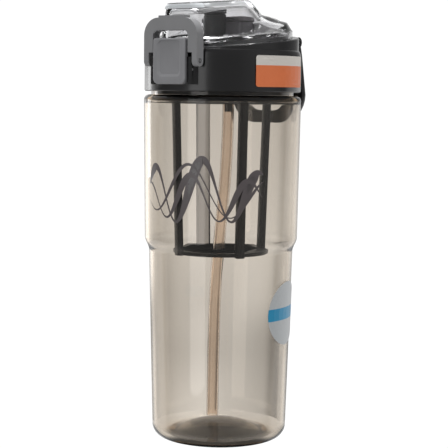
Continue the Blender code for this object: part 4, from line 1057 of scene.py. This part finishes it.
def add_floor():
    """A small piece of white ground that glows: to the bottle it shows a painted shadow where the foot stands and
    the backdrop's light painted on it, even with the backdrop at its edge.
    """
    bm = bmesh.new()
    bmesh.ops.create_circle(bm, cap_ends=True, radius=floor_radius, segments=64)
    floor = from_bmesh("floor", bm)
    look = Shader("white_ground")
    look.set("Base Color", look.mixed(look.noise(9.0, detail=4.0), *floor_shades))
    look.set("Roughness", 1.0)
    look.set("Specular IOR Level", 0.0)
    across = look.curve(look.dotted(look.place, from_camera(floor_stretch, 0.0, 0.0)), backdrop_low)
    aside = look.dotted(look.place, from_camera(1.0 / painted_shadow_half_width, 0.0, 0.0))
    ahead = look.dotted(look.place, from_camera(0.0, 1.0 / painted_shadow_depth, 0.0))
    ahead = look.maths("ADD", ahead, painted_shadow_ahead)
    reach = look.maths("ADD", look.maths("MULTIPLY", aside, aside), look.maths("MULTIPLY", ahead, ahead))
    # The glow that the bottle sees: the backdrop's light painted on the ground, dimmed by a painted shadow round the
    # foot.
    unseen = look.maths("MULTIPLY", across, look.spread(reach, *painted_shadow_reach, *painted_shadow_light))
    seen = look.node("LightPath", {}).outputs["Is Camera Ray"]
    look.set("Emission Color", white)
    look.set("Emission Strength", look.mixed(seen, unseen, white_light, "VALUE"))
    floor.data.materials.append(look.material)
    floor.location.z = -floor_sink


def make_studio():
    """The white surroundings, the ground, and soft panels to the left, behind and overhead."""
    bpy.context.scene.view_settings.view_transform = "Standard"
    add_world()
    for row in panels:
        add_panel_light(*row)
    add_floor()


def finishes():
    """Every finish on the bottle, by its slot, with the pale rib's own beside them."""
    return {
        # The cup's colour gets painted shade at its base, in the crown of its hollow and at its neck.
        "smoke_clear": clear("smoke_clear_look", (0.985, 0.975, 0.965, 1.0), 0.004, 1.47,
                             absorbed=(38.0, 58.0, 87.0), painted_shade_rows=cup_painted_shade),
        # The cover's thick front edge gets a painted highlight.
        "cover_clear": clear("cover_clear_look", (0.955, 0.955, 0.965, 1.0), 0.004, 1.32, 0.00001, 60.0, 0.02,
                             coat=0.6, painted_highlight_edge=cover_plate_highlight),
        "lid_charcoal": moulded("lid_charcoal_look", srgb(20, 19, 21), 0.25, coat=0.35),
        "liner_charcoal": moulded("liner_charcoal_look", srgb(44, 43, 46), 0.30),
        "loop_charcoal": moulded("loop_charcoal_look", srgb(30, 29, 31), 0.30),
        "ring_grey": moulded("ring_grey_look", srgb(148, 148, 150), 0.40, contrast=0.05),
        "button_grey": moulded("button_grey_look", srgb(150, 150, 153), 0.36, contrast=0.05),
        "vent_grey": moulded("vent_grey_look", srgb(113, 110, 114), 0.40),
        "vent_dark": moulded("vent_dark_look", srgb(128, 123, 126), 0.36),
        "spout_black": moulded("spout_black_look", srgb(9, 8, 11), 0.36, level=0.25),
        "silicone_black": moulded("silicone_black_look", srgb(38, 37, 41), 0.50, 500.0, 0.00001),
        "silicone_grey": moulded("silicone_grey_look", srgb(168, 168, 168), 0.55, 500.0, 0.00001),
        "straw_amber": clear("straw_amber_look", (0.91, 0.815, 0.73, 1.0), 0.12, 1.40, 0.00002, 80.0, 0.05),
        "infuser_charcoal": moulded("infuser_charcoal_look", srgb(24, 22, 22), 0.42, level=0.3),
        "rib_grey": clear("rib_grey_look", (0.47, 0.455, 0.45, 1.0), 0.34, 1.20, 0.00001, 40.0, 0.03),
        "steel_pins": metal("steel_pins_look", (0.72, 0.72, 0.74, 1.0), 0.22),
    }


def make_pieces(looks, thread_sink=0.0006):
    """Every visible piece: the cup, the cover, the ring, the cowl and the print, and the finer CAD copies."""
    cup = from_bmesh("cup_shell", turned(cup_profile()))
    ridge = thread_ridge(neck_radius - thread_sink, neck_radius + thread_depth, cup_shoulder_height + thread_start)
    combine(cup, from_bmesh("cup_thread", ridge), "UNION")
    sharpened(cup.data, crease_deg)
    placed(cup, "cup", "smoke_clear", looks["smoke_clear"], "cup_body")
    # Each slot, how far its nodes' edges are rounded in metres, and the nodes.
    rows = (
        ("lid_charcoal", 0.0003, "lid_shell"),
        ("liner_charcoal", 0.0, "lid_liner"),
        ("silicone_grey", 0.0, "vent_valve", "neck_gasket"),
        ("spout_black", 0.0, "spout_tube"),
        ("vent_grey", 0.0003, "vent_housing"),
        ("vent_dark", 0.0, "vent_cap"),
        ("straw_amber", 0.0, "straw"),
        ("steel_pins", 0.0, "hinge_pin", "cover_spring", "button_pin", "button_spring"),
        ("steel_pins", 0.0, "ring_pin_left", "ring_pin_right"),
        ("silicone_black", 0.0, "spout_stopper"),
        ("button_grey", 0.0002, "latch_button"),
        ("loop_charcoal", 0.0, "carry_loop"),
        ("infuser_charcoal", 0.0004, "infuser_frame"),
        ("infuser_charcoal", 0.0002, "infuser_plate"),
    )
    for slot, rounding, *members in rows:
        for node in members:
            angle = button_crease_deg if node == "latch_button" else crease_deg
            piece = dressed(node, slot, looks[slot], rounding, angle)
            if node == "infuser_frame":
                pale_rear_rib(piece, looks["rib_grey"])
    make_cover(looks["cover_clear"])
    make_ring(looks["ring_grey"])
    make_cowl(looks["vent_grey"])
    make_print(moulded("print_grey_look", srgb(102, 95, 96), 0.30, 1400.0, 0.000004, 0.06))


def dress_labels():
    """The two stuck-on labels keep their CAD shapes and get bands of colour, parted at set heights."""
    rows = (
        ("collar_label", (srgb(255, 138, 84), srgb(245, 239, 231)), (0.2143,)),
        ("cup_label", (srgb(214, 218, 220), srgb(40, 165, 214), srgb(214, 218, 220)), (0.0712, 0.0782)),
    )
    for name, colours, edges in rows:
        materials = nodes[name].data.materials
        materials.clear()
        materials.append(printed(name + "_look", colours, edges))


make_pieces(finishes())
dress_labels()
make_camera()
make_studio()
